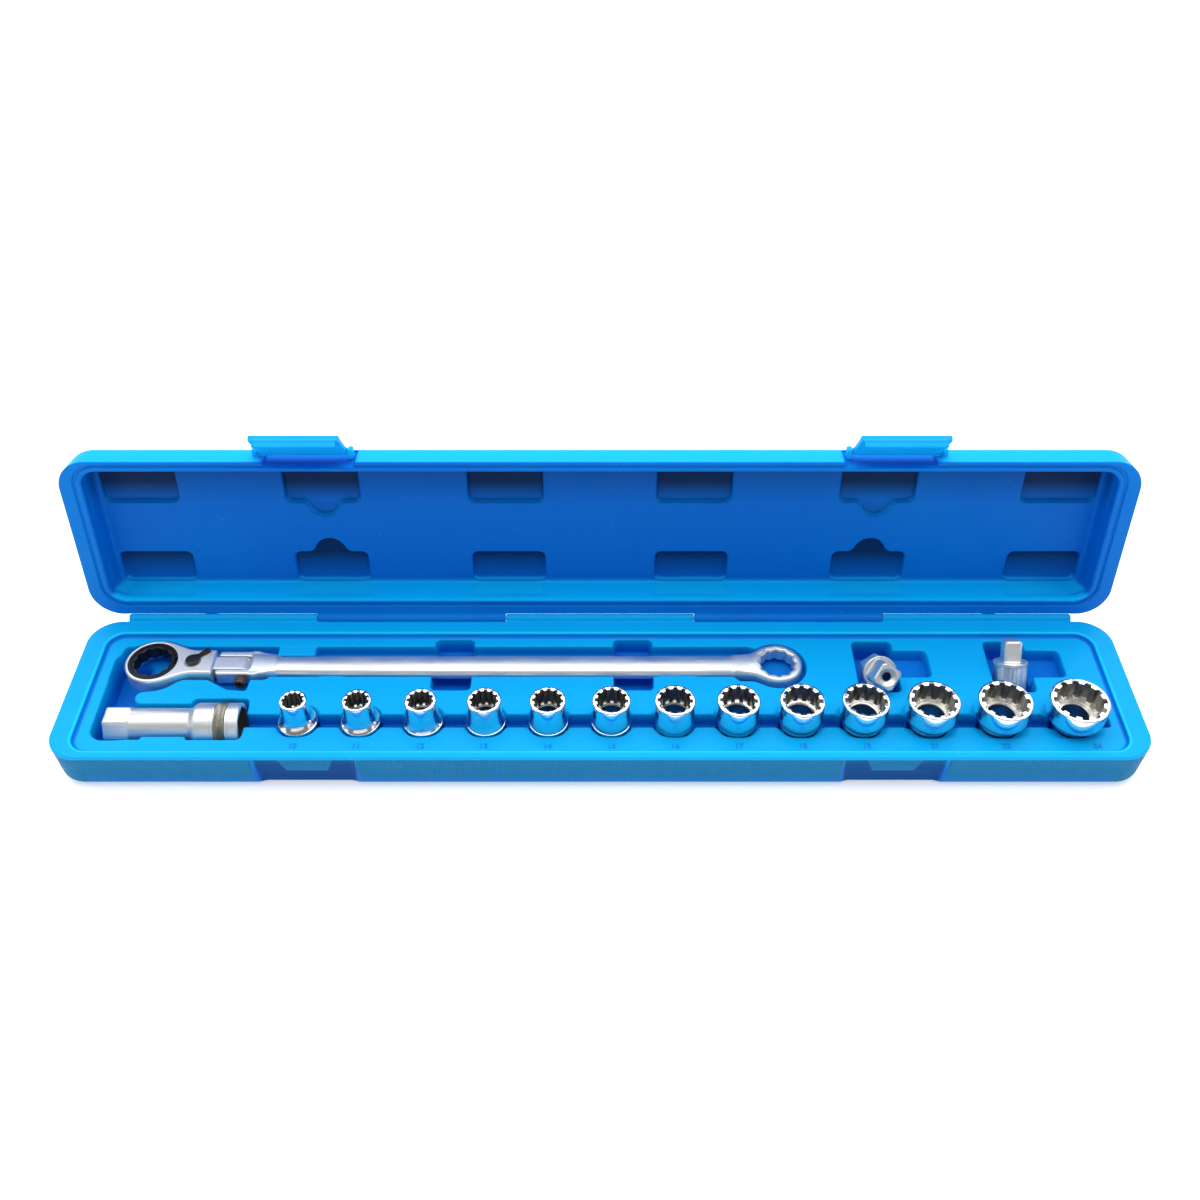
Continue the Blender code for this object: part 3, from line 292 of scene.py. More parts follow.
def loft(name, stations, material, matrix, dark=(), second=None, count=RING_POINTS,
         ends=False, sharp=30):
    """A turned or broached solid from rings about Z, joined in order. A station is a radius,
    or one for each point round, and a height. The ends are closed by a face each, or the last
    ring is joined to the first. Spans of stations listed in dark take the second material."""
    angles = np.arange(count) * math.tau / count
    bm = bmesh.new()
    loops = []
    for radius, height in stations:
        radius = np.broadcast_to(np.asarray(radius, float), (count,))
        points = np.stack([radius * np.cos(angles), radius * np.sin(angles),
                           np.full(count, float(height))], 1)
        loops.append([bm.verts.new(point * MM) for point in points])
    for lower, upper in zip(loops, loops[1:] if ends else loops[1:] + loops[:1]):
        for i in range(count):
            j = (i + 1) % count
            bm.faces.new((lower[i], lower[j], upper[j], upper[i]))
    if ends:
        bm.faces.new(loops[0][::-1])
        bm.faces.new(loops[-1])
    bmesh.ops.recalc_face_normals(bm, faces=bm.faces)
    mesh = bpy.data.meshes.new(name)
    bm.to_mesh(mesh)
    bm.free()
    mesh.shade_smooth()
    mesh.set_sharp_from_angle(angle=math.radians(sharp))
    mesh.transform(matrix)
    made = link(name, mesh, material)
    if second is not None:
        mesh.materials.append(second)
        for span in dark:
            paint(made, span * count, (span + 1) * count, 1)
    return made


def paint(made, start, end, slot):
    for index in range(start, end):
        made.data.polygons[index].material_index = slot


def polygon_radius(sides, across_flats, count, turn=0.0, corner=0.0):
    """The radius of a regular polygon at each ring angle, its corners rounded off."""
    angles = np.arange(count) * math.tau / count + turn
    wedge = math.tau / sides
    local = (angles + wedge / 2) % wedge - wedge / 2
    radius = across_flats / 2 / np.cos(local)
    limit = across_flats / 2 / math.cos(wedge / 2) - corner
    return np.minimum(radius, limit)


def moved(x=0.0, y=0.0, z=0.0, rotation=None):
    matrix = Matrix.Translation(Vector((x, y, z)) * MM)
    if rotation is not None:
        matrix = matrix @ rotation
    return matrix


def about_x(degrees):
    return Matrix.Rotation(math.radians(degrees), 4, "X")


# -------- finishes


class Finish:
    """A procedural material: helpers that add nodes and wire them up."""

    def __init__(self, name):
        self.material = bpy.data.materials.new(name)
        self.material.use_nodes = True
        self.tree = self.material.node_tree
        self.shader = self.tree.nodes["Principled BSDF"]
        self.coords = self.tree.nodes.new("ShaderNodeTexCoord").outputs["Object"]

    def wire(self, value, socket):
        if isinstance(value, bpy.types.NodeSocket):
            self.tree.links.new(value, socket)
        else:
            socket.default_value = value

    def noise(self, scale, detail, stretch=(1, 1, 1)):
        mapping = self.tree.nodes.new("ShaderNodeMapping")
        mapping.inputs["Scale"].default_value = stretch
        self.wire(self.coords, mapping.inputs["Vector"])
        node = self.tree.nodes.new("ShaderNodeTexNoise")
        node.inputs["Scale"].default_value = scale
        node.inputs["Detail"].default_value = detail
        self.wire(mapping.outputs["Vector"], node.inputs["Vector"])
        return node.outputs["Fac"]

    def math(self, operation, *values):
        node = self.tree.nodes.new("ShaderNodeMath")
        node.operation = operation
        for value, socket in zip(values, node.inputs):
            self.wire(value, socket)
        return node.outputs[0]

    def times(self, *values):
        total = values[0]
        for value in values[1:]:
            total = self.math("MULTIPLY", total, value)
        return total

    def plus(self, first, second):
        return self.math("ADD", first, second)

    def minus(self, first, second):
        return self.math("SUBTRACT", first, second)

    def most(self, first, second):
        return self.math("MAXIMUM", first, second)

    def size(self, value):
        return self.math("ABSOLUTE", value)

    def span(self, value, low, high, to_low=0.0, to_high=1.0):
        """From to_low at low to to_high at high and level beyond, in either direction."""
        node = self.tree.nodes.new("ShaderNodeMapRange")
        for value, key in ((value, "Value"), (low, "From Min"), (high, "From Max"),
                           (to_low, "To Min"), (to_high, "To Max")):
            self.wire(value, node.inputs[key])
        return node.outputs["Result"]

    def over(self, length, low, high):
        """From 0 to 1 as a length in metres goes between two limits in millimetres."""
        return self.span(length, low * MM, high * MM)

    def fade(self, mask, least):
        """1 outside a mask, down to the least value where the mask is full."""
        return self.span(mask, 0.0, 1.0, 1.0, least)

    def axes(self):
        node = self.tree.nodes.new("ShaderNodeSeparateXYZ")
        self.wire(self.coords, node.inputs[0])
        return node.outputs[0], node.outputs[1], node.outputs[2]

    def blend(self, share, first, second):
        node = self.tree.nodes.new("ShaderNodeMix")
        node.data_type = "RGBA"
        self.wire(share, node.inputs[0])
        for colour, socket in ((first, node.inputs[6]), (second, node.inputs[7])):
            self.wire((*colour, 1.0) if isinstance(colour, tuple) else colour, socket)
        return node.outputs[2]

    def bump(self, height, strength, distance, under=None):
        node = self.tree.nodes.new("ShaderNodeBump")
        node.inputs["Strength"].default_value = strength
        node.inputs["Distance"].default_value = distance
        self.wire(height, node.inputs["Height"])
        if under is not None:
            self.wire(under, node.inputs["Normal"])
        return node.outputs["Normal"]

    def done(self, colour, roughness, normal=None, metallic=0.0, **settings):
        for value, key in ((colour, "Base Color"), (roughness, "Roughness"),
                           (normal, "Normal"), (metallic, "Metallic")):
            if value is not None:
                self.wire(value, self.shader.inputs[key])
        for key, value in settings.items():
            self.shader.inputs[key.replace("_", " ")].default_value = value
        return self.material

    def done_plastic(self, colour, roughness, normal, gloss):
        return self.done(colour, roughness, normal, IOR=1.48, Specular_IOR_Level=gloss)


# The lit and bright lit blues are painted lit colours of the case, the deep blue its painted
# shade, and the wall and lip blues painted highlights; the textured and speck blues are its own
# colours
LIT_BLUE = (0.0004, 0.41, 0.87)
SHADE_BLUE = (0.0003, 0.165, 0.68)
TEXTURED_BLUE = (0.003, 0.26, 0.60)
BRIGHT_LIT_BLUE = (0.001, 0.44, 0.93)
WALL_BLUE = (0.0005, 0.46, 0.98)
SPECK_BLUE = (0.10, 0.52, 0.92)
LIP_HIGHLIGHT_BLUE = (0.01, 0.66, 1.0)
WEAVE = 3200.0  # radians per metre


def moulded(f, tone, lit=LIT_BLUE):
    """Colour, roughness and grain that the case mouldings share. The tone runs from the
    painted shade in their hollows to the painted lit colour of their outsides."""
    cloud = f.noise(9.0, 3.0)
    tone = f.plus(tone, f.span(cloud, 0.3, 0.7, -0.08, 0.08))
    colour = f.blend(tone, SHADE_BLUE, lit)
    speck = f.span(f.noise(620.0, 1.0), 0.76, 0.80)
    colour = f.blend(f.times(speck, 0.35), colour, SPECK_BLUE)
    worn = f.noise(60.0, 4.0, (1, 3, 3))
    roughness = f.span(worn, 0.3, 0.75, 0.40, 0.56)
    grain = f.bump(f.noise(900.0, 3.0), 0.10, 0.4 * MM)
    return colour, roughness, grain


def outside_recess(f, x, y):
    """Distance in metres from the recess's rounded outline, negative within it."""
    low, high, corner = RECESS
    reach = []
    for value, a, b in ((x, low[0], high[0]), (y, low[1], high[1])):
        middle, half = (a + b) / 2 * MM, ((b - a) / 2 - corner) * MM
        reach.append(f.minus(f.size(f.minus(value, middle)), half))
    squares = [f.math("POWER", f.most(side, 0.0), 2.0) for side in reach]
    beyond = f.math("SQRT", f.plus(*squares))
    within = f.math("MINIMUM", f.most(*reach), 0.0)
    return f.minus(f.plus(beyond, within), corner * MM)


def beside_seats(f, x):
    """Distance in metres along X from the middle of the nearer latch hollow."""
    return f.size(f.minus(f.size(x), SEAT_X * MM))


def shaded(f, colour, *masks):
    """The colour darkened by painted shade, where each (mask, least) pair leaves that share of
    it.
    """
    value = 1.0
    for mask, least in masks:
        value = f.times(value, f.fade(mask, least))
    tint = f.tree.nodes.new("ShaderNodeHueSaturation")
    f.wire(colour, tint.inputs["Color"])
    f.wire(value, tint.inputs["Value"])
    return tint.outputs["Color"]


def base_plastic():
    f = Finish("case_base_plastic")
    x, y, z = f.axes()
    out = outside_recess(f, x, y)
    # Painted shade darkens everything lower than the plateau and the foot of the recess's wall,
    # and a painted highlight runs along the top edge of the recess's wall
    edge = f.size(f.plus(out, 0.1 * MM))
    foot = f.times(f.over(edge, 1.2, 0.8), f.over(z, 24.6, 24.0), f.over(z, 21.5, 22.0))
    tone = f.times(f.over(z, 13.5, 22.2), f.fade(foot, 0.12))
    colour, roughness, grain = moulded(f, tone)
    lip_highlight = f.size(f.minus(out, 1.4 * MM))
    lip_highlight = f.times(f.over(lip_highlight, 0.8, 0.4), f.over(z, 24.3, 24.7), 0.7)
    colour = f.blend(lip_highlight, colour, LIP_HIGHLIGHT_BLUE)
    # Painted shade darkens the latch hollows, measured in from the leaning front wall
    lean = f.times(f.minus(BASE_TOP * MM, z), 0.06)
    depth = f.minus(f.minus(y, CASE[0][1] * MM), lean)
    seat = f.times(f.over(depth, 1.1, 2.2), f.over(y, -44.0, -44.6), f.over(z, 23.2, 22.6),
                   f.over(beside_seats(f, x), 31.0, 30.0))
    # The rest of the outside below the rim has a fine weave
    outer = f.most(f.over(out, 4.4, 5.0), f.over(z, 3.0, 2.0))
    face = f.times(outer, f.over(z, 23.7, 22.8), f.minus(1.0, seat))
    along = f.plus(x, y)
    rising = f.math("SINE", f.times(f.plus(along, z), WEAVE))
    falling = f.math("SINE", f.times(f.minus(along, z), WEAVE))
    weave = f.times(rising, falling)
    colour = f.blend(face, colour, TEXTURED_BLUE)
    # Painted shade darkens the hollows of the weave
    pit_shade = f.times(face, f.span(weave, 0.7, -0.5))
    colour = shaded(f, colour, (pit_shade, 0.48), (seat, 0.42))
    normal = f.bump(f.times(weave, face), 0.6, 0.3 * MM, grain)
    return f.done_plastic(colour, roughness, normal, 0.1)


def lid_plastic():
    """The lid's finish, in the coordinates of the closed lid."""
    f = Finish("case_lid_plastic")
    x, y, z = f.axes()
    out = outside_recess(f, x, y)
    # Painted light: the outer walls, which lean in towards the top, and the top itself are
    # painted bright, and the rim a little lighter
    lean = f.times(f.minus(z, LID_RIM * MM), 0.076)
    skin = f.over(f.plus(out, lean), 5.0, 5.6)
    tone = f.times(skin, f.over(z, 25.8, 26.8))
    tone = f.plus(tone, f.span(out, 0.0, 3.0 * MM, 0.0, 0.10))
    top = f.over(z, 44.3, 44.6)
    # Painted shade darkens the hollow behind each latch
    seat = f.times(f.over(y, -49.2, -48.4), f.over(y, -44.0, -44.6),
                   f.over(beside_seats(f, x), 26.0, 25.0),
                   f.over(z, 26.4, 27.2), f.over(z, 41.2, 40.7))
    tone = f.most(f.times(tone, f.fade(seat, 0.1)), top)
    colour, roughness, grain = moulded(f, tone, BRIGHT_LIT_BLUE)
    # The wall beside the hinge and the lower edges of the dimples catch the light
    inside = f.times(f.over(out, 0.0, -1.0), f.minus(1.0, top))
    wall = f.times(f.over(y, 34.5, 36.8), f.over(z, 41.2, 40.0), f.over(out, 2.0, 1.0))
    high_edge = f.times(f.over(y, -19.0, -17.0), f.over(y, -4.0, -6.0))
    edges = f.times(inside, f.most(high_edge, f.over(y, 34.0, 35.2)),
                    f.over(z, 41.3, 41.7), f.over(z, 43.6, 43.0), 0.8)
    colour = f.blend(f.most(wall, edges), colour, WALL_BLUE)
    # Inside, painted shade darkens it towards the front edge and in the dimples
    front = f.times(inside, f.over(y, -16.0, -44.0))
    low_row = f.times(f.over(y, 35.0, 19.0), f.over(y, 0.0, 2.0))
    rows = f.most(f.over(y, -16.5, -27.5), low_row)
    dimple = f.times(inside, f.over(z, 41.0, 43.4), f.span(rows, 0.0, 1.0, 0.15, 1.0))
    colour = shaded(f, colour, (front, 0.36), (dimple, 0.18))
    return f.done_plastic(colour, roughness, grain, 0.1)


def plain_plastic(name, tone, lit, gloss):
    f = Finish(name)
    return f.done_plastic(*moulded(f, tone, lit), gloss)


def steel(name, colour, dull, roughness, brushed=(1, 1, 1), grain=0.12, scale=700.0,
          metallic=1.0):
    """Metal with smudges, fine scratches and a slightly uneven tint."""
    f = Finish(name)
    smudge = f.noise(70.0, 4.0)
    shade = f.blend(f.span(smudge, 0.35, 0.7), colour, dull)
    fine = f.noise(scale, 3.0, brushed)
    scratch = f.span(f.noise(260.0, 2.0, (0.25, 4.0, 4.0)), 0.62, 0.72)
    low, high = roughness
    rough = f.span(smudge, 0.3, 0.7, low, high)
    rough = f.plus(rough, f.times(scratch, 0.10))
    normal = f.bump(fine, grain, 0.2 * MM)
    return f.done(shade, rough, normal, metallic)


BASE_PLASTIC = base_plastic()
LID_PLASTIC = lid_plastic()
LATCH_PLASTIC = plain_plastic("latch_plastic", 0.85, BRIGHT_LIT_BLUE, 0.2)
NUMBER_PLASTIC = plain_plastic("raised_number_plastic", 0.35, LIT_BLUE, 0.25)
SATIN = steel("satin_chrome_finish", (0.84, 0.86, 0.85), (0.72, 0.75, 0.75), (0.40, 0.54),
              (0.12, 1, 1), 0.16, 1100.0)
FROSTED = steel("frosted_chrome_finish", (0.80, 0.82, 0.82), (0.68, 0.71, 0.71), (0.40, 0.54),
                grain=0.25, scale=1500.0)
CHROME = steel("bright_chrome_finish", (0.88, 0.89, 0.90), (0.78, 0.79, 0.80), (0.10, 0.2),
               grain=0.04, scale=500.0)
CREAM = steel("turned_chrome_finish", (0.90, 0.88, 0.82), (0.80, 0.78, 0.72), (0.22, 0.34),
              grain=0.05, scale=800.0)
DARK_WALL = steel("broached_wall_finish", (0.46, 0.46, 0.43), (0.28, 0.28, 0.26), (0.26, 0.42),
                  (1, 1, 0.1), 0.2, 900.0)
BLACK = steel("black_oxide_finish", (0.050, 0.050, 0.052), (0.022, 0.022, 0.024), (0.3, 0.46),
              grain=0.2, scale=900.0, metallic=0.85)
BROWN = steel("bronzed_screw_finish", (0.22, 0.13, 0.09), (0.09, 0.06, 0.05), (0.3, 0.5),
              grain=0.2, scale=900.0, metallic=0.85)
OLIVE = steel("knurl_finish", (0.34, 0.33, 0.27), (0.16, 0.16, 0.13), (0.34, 0.5),
              grain=0.2, scale=900.0, metallic=0.9)
SPRING = steel("spring_steel_finish", (0.6, 0.61, 0.62), (0.45, 0.46, 0.47), (0.2, 0.34),
               grain=0.08, scale=600.0)


def settle_piece(made, body, slot, *nodes):
    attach(made, body)
    if nodes:
        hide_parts(*nodes)


# -------- case, base half

SOCKETS = {10: -161.5, 11: -128.0, 12: -94.5, 13: -61.0, 14: -27.5, 15: 6.0, 16: 39.5,
           17: 73.0, 18: 106.5, 19: 140.0, 21: 175.8, 22: 213.3, 24: 252.5}
ADAPTERS = (153.5, 227.8)
FLANGE_RADIUS = 10.6
WALL_DRAFT, WELL_FILLET = 0.05, 1.3


def outer_radius(size):
    return size * 0.585 + 1.45


def well(low, high, floor, corner, slope=WALL_DRAFT, fillet=WELL_FILLET):
    def shape(x, y, z):
        side = rect(x, y, low, high, corner) + (PLATEAU - z) * slope
        return round_max(side, floor - z, fillet)
    return shape


def round_well(cx, cy, radius, floor):
    def shape(x, y, z):
        side = disc(x, y, cx, cy, radius) + (PLATEAU - z) * WALL_DRAFT
        return round_max(side, floor - z, WELL_FILLET)
    return shape


def socket_seat(cx, top_radius):
    """A dish that a socket's flange lies in, cut straight in front and behind."""
    floor, bottom_radius = 20.3, 11.3

    def shape(x, y, z):
        share = np.clip((z - floor) / (PLATEAU - floor), 0, 1)
        side = disc(x, y, cx, SOCKET_Y, bottom_radius)
        side = side - (top_radius - bottom_radius) * share
        front = np.abs(y - SOCKET_Y) - bottom_radius - 0.9 * share
        return round_max(round_max(side, front, 2.0), floor - z, 0.6)
    return shape


def add_wells(wells):
    def add(shape, low, high, radius=1.0):
        wells.join((low[0] - 5, low[1] - 5, 0), (high[0] + 5, high[1] + 5, 40), shape,
                   radius)

    def add_box(low, high, floor, corner=3.0, radius=1.0):
        add(well(low, high, floor, corner), low, high, radius)

    wrench_floor, extension_floor = 15.6, 6.0
    # Ratchet wrench: handle run, head and ring, finger gaps
    add_box((-268, 7.2), (-183, 32), wrench_floor)
    add_box((-187, 9.5), (86, 32), wrench_floor)
    add_box((75.5, 6.2), (92.5, 28.8), wrench_floor, 3.0, 3.0)
    for cx, radius in ((-248.0, 19.0), (98.5, 16.4)):
        add(round_well(cx, WRENCH_Y, radius, 15.0), (cx - radius, -3), (cx + radius, 38), 3.0)
    for cx in (-82.0, 18.5):
        add_box((cx - 11, -0.6), (cx + 11, 37.5), 12.0)
    relief = [(-216.0, 8.0), (-204.0, 0.6), (-194.5, 0.0), (-193.5, 9.8), (-216.0, 10.0)]
    add(lambda x, y, z: round_max(outline(x, y, relief) - 0.8, 14.5 - z, 1.2),
        (-218, 0), (-188, 11))
    # Extension, with a narrower run beside its shaft
    add_box((-266, -35.2), (-190, -10.4), extension_floor)
    add_box((-221, -35.2), (-190, -6.8), extension_floor)
    add_box((-270.5, -33), (-253, 24), extension_floor, 4.0, 5.0)
    # Sockets: one channel, a seat and a drive well each
    add_box((-193.5, -26.8), (272, -18), 14.0, 1.5)
    for size, cx in SOCKETS.items():
        radius = max(FLANGE_RADIUS, outer_radius(size)) + 1.5
        add(socket_seat(cx, radius), (cx - radius, -36), (cx + radius, -8), 0.8)
        add(round_well(cx, SOCKET_Y, 11.0, 10.8), (cx - 11, -34), (cx + 11, -11), 0.6)
    # Adapters, with finger recesses to their right
    for cx in ADAPTERS:
        add_box((cx - 11.3, -2), (cx + 11.3, 36), 7.4)
        add_box((cx + 6, 9), (cx + 30, 29), 14.0)


def add_nubs(wells):
    """Small tabs that reach into the wells and hold the tools."""
    tabs = [((-181, 25.2), (-160, 36)), ((-243, -40), (-219, -33.2)), ((-156, 4), (-142, 9.9)),
            ((32, 4), (54, 9.9))]
    for low, high in tabs:
        wells.carve((low[0] - 4, low[1] - 4, 4), (high[0] + 4, high[1] + 4, 40),
                    lambda x, y, z, low=low, high=high: round_max(
                        rect(x, y, low, high, 1.5), z - PLATEAU, 0.5), 0.8)


def latch_seats(field):
    """The hollows in the front wall, each with the tapered catch that its latch hooks."""
    for side in (-1, 1):
        centre, catch = side * SEAT_X, side * (SEAT_X - 1)
        wedge = [(catch - 15.5, 24.6), (catch + 15.5, 24.6), (catch + 11.0, 13.5),
                 (catch - 11.0, 13.5)]

        def shape(x, y, z, centre=centre, wedge=wedge):
            half = 28.8 - 1.1 * (y + 50)
            seat = round_max(np.abs(x - centre) - half, y + 45.5, 1.5)
            seat = round_max(seat, z - 22.6, 1.2)
            tab = round_max(outline(x, z, wedge), -(y + 49.7), 0.5)
            return round_max(seat, -tab, 0.6)
        field.carve((centre - 34, -52, -2), (centre + 34, -41, 27), shape, 0.8)


def knuckle_spans(lid):
    """Start and end of each knuckle of a half. The base has three and the lid two."""
    first, length, gap = -270, 108, 0.1
    for i in range(5):
        if (i % 2 == 1) == lid:
            yield first + i * length + gap, first + (i + 1) * length - gap


def add_hinge(field, lid):
    """Joins a half's own knuckles on and clears the other half's."""
    low, high = (25.3, 27.2) if lid else (22.8, 24.7)
    for start, end in knuckle_spans(lid):
        mid, half = (start + end) / 2, (end - start) / 2

        def shape(x, y, z, mid=mid, half=half):
            barrel = np.hypot(y - HINGE_Y, z - HINGE_Z) - 2.5
            web = rect(y, z, (48.0, low), (HINGE_Y - 0.5, high), 0.2)
            return round_max(round_min(barrel, web, 0.6), np.abs(x - mid) - half, 0.4)
        field.join((start - 2, 46, 20), (end + 2, 56, 29), shape, 0.5)
    for start, end in knuckle_spans(not lid):
        mid, half = (start + end) / 2, (end - start) / 2 + 0.2
        field.carve((start - 2, 48, 20), (end + 2, 57, 29), lambda x, y, z: round_max(
            np.hypot(y - HINGE_Y, z - HINGE_Z) - 2.7, np.abs(x - mid) - half), 0.2)


def add_stops(field):
    bracket = [(49.0, 8.0), (53.4, 10.0), (64.2, 22.1), (64.2, 25.1), (55.6, 26.2),
               (55.6, 21.0), (49.0, 21.0)]
    for cx in (-225.0, 225.0):
        field.join((cx - 5, 47, 5), (cx + 5, 66, 28), lambda x, y, z, cx=cx: round_max(
            outline(y, z, bracket), np.abs(x - cx) - 3.0, 0.6), 1.0)


def base_piece():
    low, high, corner = CASE
    grid = (spans((-290.8, 290.8, 0.6)), spans((-50.8, 50.8, 0.5), (50.8, 65.4, 0.65)),
            spans((-0.8, 11.2, 0.8), (11.2, 19.6, 0.55), (19.6, 28.4, 0.4)))
    field, wells = Field(*grid), Field(*grid)
    x, y, z = field.whole()
    side = rect(x, y, low, high, corner) + 1.5 * (1 - z / BASE_TOP)
    field.fill(round_max(round_max(side, -z, 5), z - BASE_TOP, 1.1))
    latch_seats(field)
    low, high, corner = RECESS
    field.carve((low[0] - 4, low[1] - 4, 18), (high[0] + 4, high[1] + 4, 40),
                well(low, high, PLATEAU, corner, 0.25, 0.8), 0.9)
    add_wells(wells)
    add_nubs(wells)
    field.fill(round_max(field.values, -wells.values, 0.9))
    add_stops(field)
    add_hinge(field, lid=False)
    made = skinned("tray_base", field, BASE_PLASTIC)
    settle_piece(made, "base", "case_plastic", "base_shell")


base_piece()


# -------- case, lid and latches

LID_ANGLE, LATCH_ANGLE = -98.5, -46
OPEN_LID = moved(0, HINGE_Y, HINGE_Z, about_x(LID_ANGLE)) @ moved(0, -HINGE_Y, -HINGE_Z)
LATCH_X, LATCH_Y, LATCH_Z = 158.0, -52.4, 33.0


def lid_dimples(hollows):
    """Shallow hollows in the lid's floor. The ones over the latches have a round lobe."""
    def dimple(cx, low, high, lobe):
        def shape(x, y, z):
            plan = rect(x, y, (cx - 21, low), (cx + 21, high), 4)
            if lobe is not None:
                plan = round_min(plan, disc(x, y, cx, lobe, 9.0), 3.5)
            return round_max(plan + (z - LID_FLOOR) * 0.35, z - LID_FLOOR - 3.0, 0.8)
        return shape

    for column in (52.0, 153.0, 253.0):
        for cx in (-column, column):
            for low, high in ((-41.0, -15.5), (17.0, 37.0)):
                lobe = None if column != 153.0 else (low if low > 0 else high)
                hollows.join((cx - 26, low - 14, 30), (cx + 26, high + 14, 50),
                             dimple(cx, low, high, lobe), 0.5)


def lid_piece():
    low, high, corner = CASE
    grid = (spans((-290.8, 290.8, 0.6)), spans((-55.2, -50.4, 0.6), (-50.4, 55.2, 0.5)),
            spans((22.0, 24.6, 0.65), (24.6, 29.0, 0.35), (29.0, 39.8, 0.6), (39.8, 45.8, 0.4)))
    field, hollows = Field(*grid), Field(*grid)
    x, y, z = field.whole()
    side = rect(x, y, low, high, corner) + 1.5 * (z - LID_RIM) / (LID_TOP - LID_RIM)
    field.fill(round_max(round_max(side, z - LID_TOP, 5), LID_RIM - z, 1.0))
    low, high, corner = RECESS
    around = rect(x, y, low, high, corner)
    hollows.fill(round_max(around + (z - LID_RIM) * 0.10, z - LID_FLOOR, 2.2))
    lid_dimples(hollows)
    field.fill(round_max(field.values, -hollows.values, 0.9))
    groove = round_max(np.abs(around - 3.6) - 1.0, z - LID_RIM - 1.1, 0.4)
    field.fill(round_max(field.values, -groove, 0.5))
    for cx in (-SEAT_X, SEAT_X):
        field.carve((cx - 34, -53, 20), (cx + 34, -42, 45), lambda x, y, z, cx=cx: round_max(
            round_max(np.abs(x - cx) - 25 + 0.4 * (y + 50), y + 47.2, 0.8), z - 40.5, 1.0), 0.7)
    for cx in (-LATCH_X, LATCH_X):
        for end in (-25.4, 25.4):
            ear = cx + end
            field.join((ear - 4, -56, 27), (ear + 4, -42, 39),
                       lambda x, y, z, ear=ear: round_max(
                           rect(y, z, (-54.6, 30.8), (-46.0, 35.8), 1.2),
                           np.abs(x - ear) - 1.4, 0.4), 0.6)
    add_hinge(field, lid=True)
    made = skinned("lid_half", field, LID_PLASTIC)
    made.matrix_world = OPEN_LID
    settle_piece(made, "lid", "case_plastic", "lid_shell")


def latch_piece(side, label):
    """A latch about its own pin, with a hook along its free edge and a grip outside."""
    tip, half = -22.6, 23.5
    field = Field(spans((-24.4, 24.4, 0.4)), spans((-3.0, 5.8, 0.25)), spans((-23.6, 3, 0.25)))
    x, y, z = field.whole()
    plate = round_max(rect(y, z, (-1.8, tip), (1.6, 0.6), 0.7), np.abs(x) - half, 0.7)
    barrel = round_max(np.hypot(y, z) - 2.0, np.abs(x) - half, 0.4)
    hook = round_max(rect(y, z, (0.6, tip), (4.7, tip + 2), 0.6), np.abs(x) - 21.6, 0.6)
    shape = round_min(round_min(plate, barrel, 1.0), hook, 0.8)
    line = round_max(np.abs(z + 18.9) - 0.45, 1.15 - y) + 0 * x
    shape = round_max(shape, -line, 0.25)
    grip = round_max(rect(x, z, (-19, -17.0), (19, -5.0), 2.0), y + 1.3)
    shape = round_max(shape, -grip, 0.3)
    pin = np.hypot(y, z) - 1.1
    field.fill(round_max(shape, -(pin + 0 * x)))
    name = "latch_" + label
    made = skinned(name + "_plate", field, LATCH_PLASTIC, 40000)
    made.matrix_world = OPEN_LID @ moved(side * LATCH_X, LATCH_Y, LATCH_Z,
                                         about_x(LATCH_ANGLE))
    settle_piece(made, name, "latch_plastic", name)


lid_piece()
latch_piece(-1, "left")
latch_piece(1, "right")


# -------- ratchet wrench

PIVOT = (-198.5, 17.5, 20.8)
HEAD_X, RING_X, LEVER_X = -248.0, 98.5, -226
SLOT_HALF, TONGUE_HALF, TONGUE_RADIUS, PIVOT_BORE = 5.0, 4.6, 4.0, 2.3


def double_hex(x, y, cx, cy, across_flats):
    """Distance to a 12-point opening: two hexagons turned half a step apart."""
    found = np.inf
    for turn in (0.0, 30.0):
        sides = [(x - cx) * math.cos(math.radians(a + turn))
                 + (y - cy) * math.sin(math.radians(a + turn)) for a in (0, 60, 120)]
        reach = np.maximum(np.maximum(np.abs(sides[0]), np.abs(sides[1])), np.abs(sides[2]))
        found = np.minimum(found, reach - across_flats / 2)
    return found


def slab(distance, z, low, high, edge):
    """A flat outline given a thickness, with rounded edges."""
    return round_max(distance, np.abs(z - (low + high) / 2) - (high - low) / 2, edge)


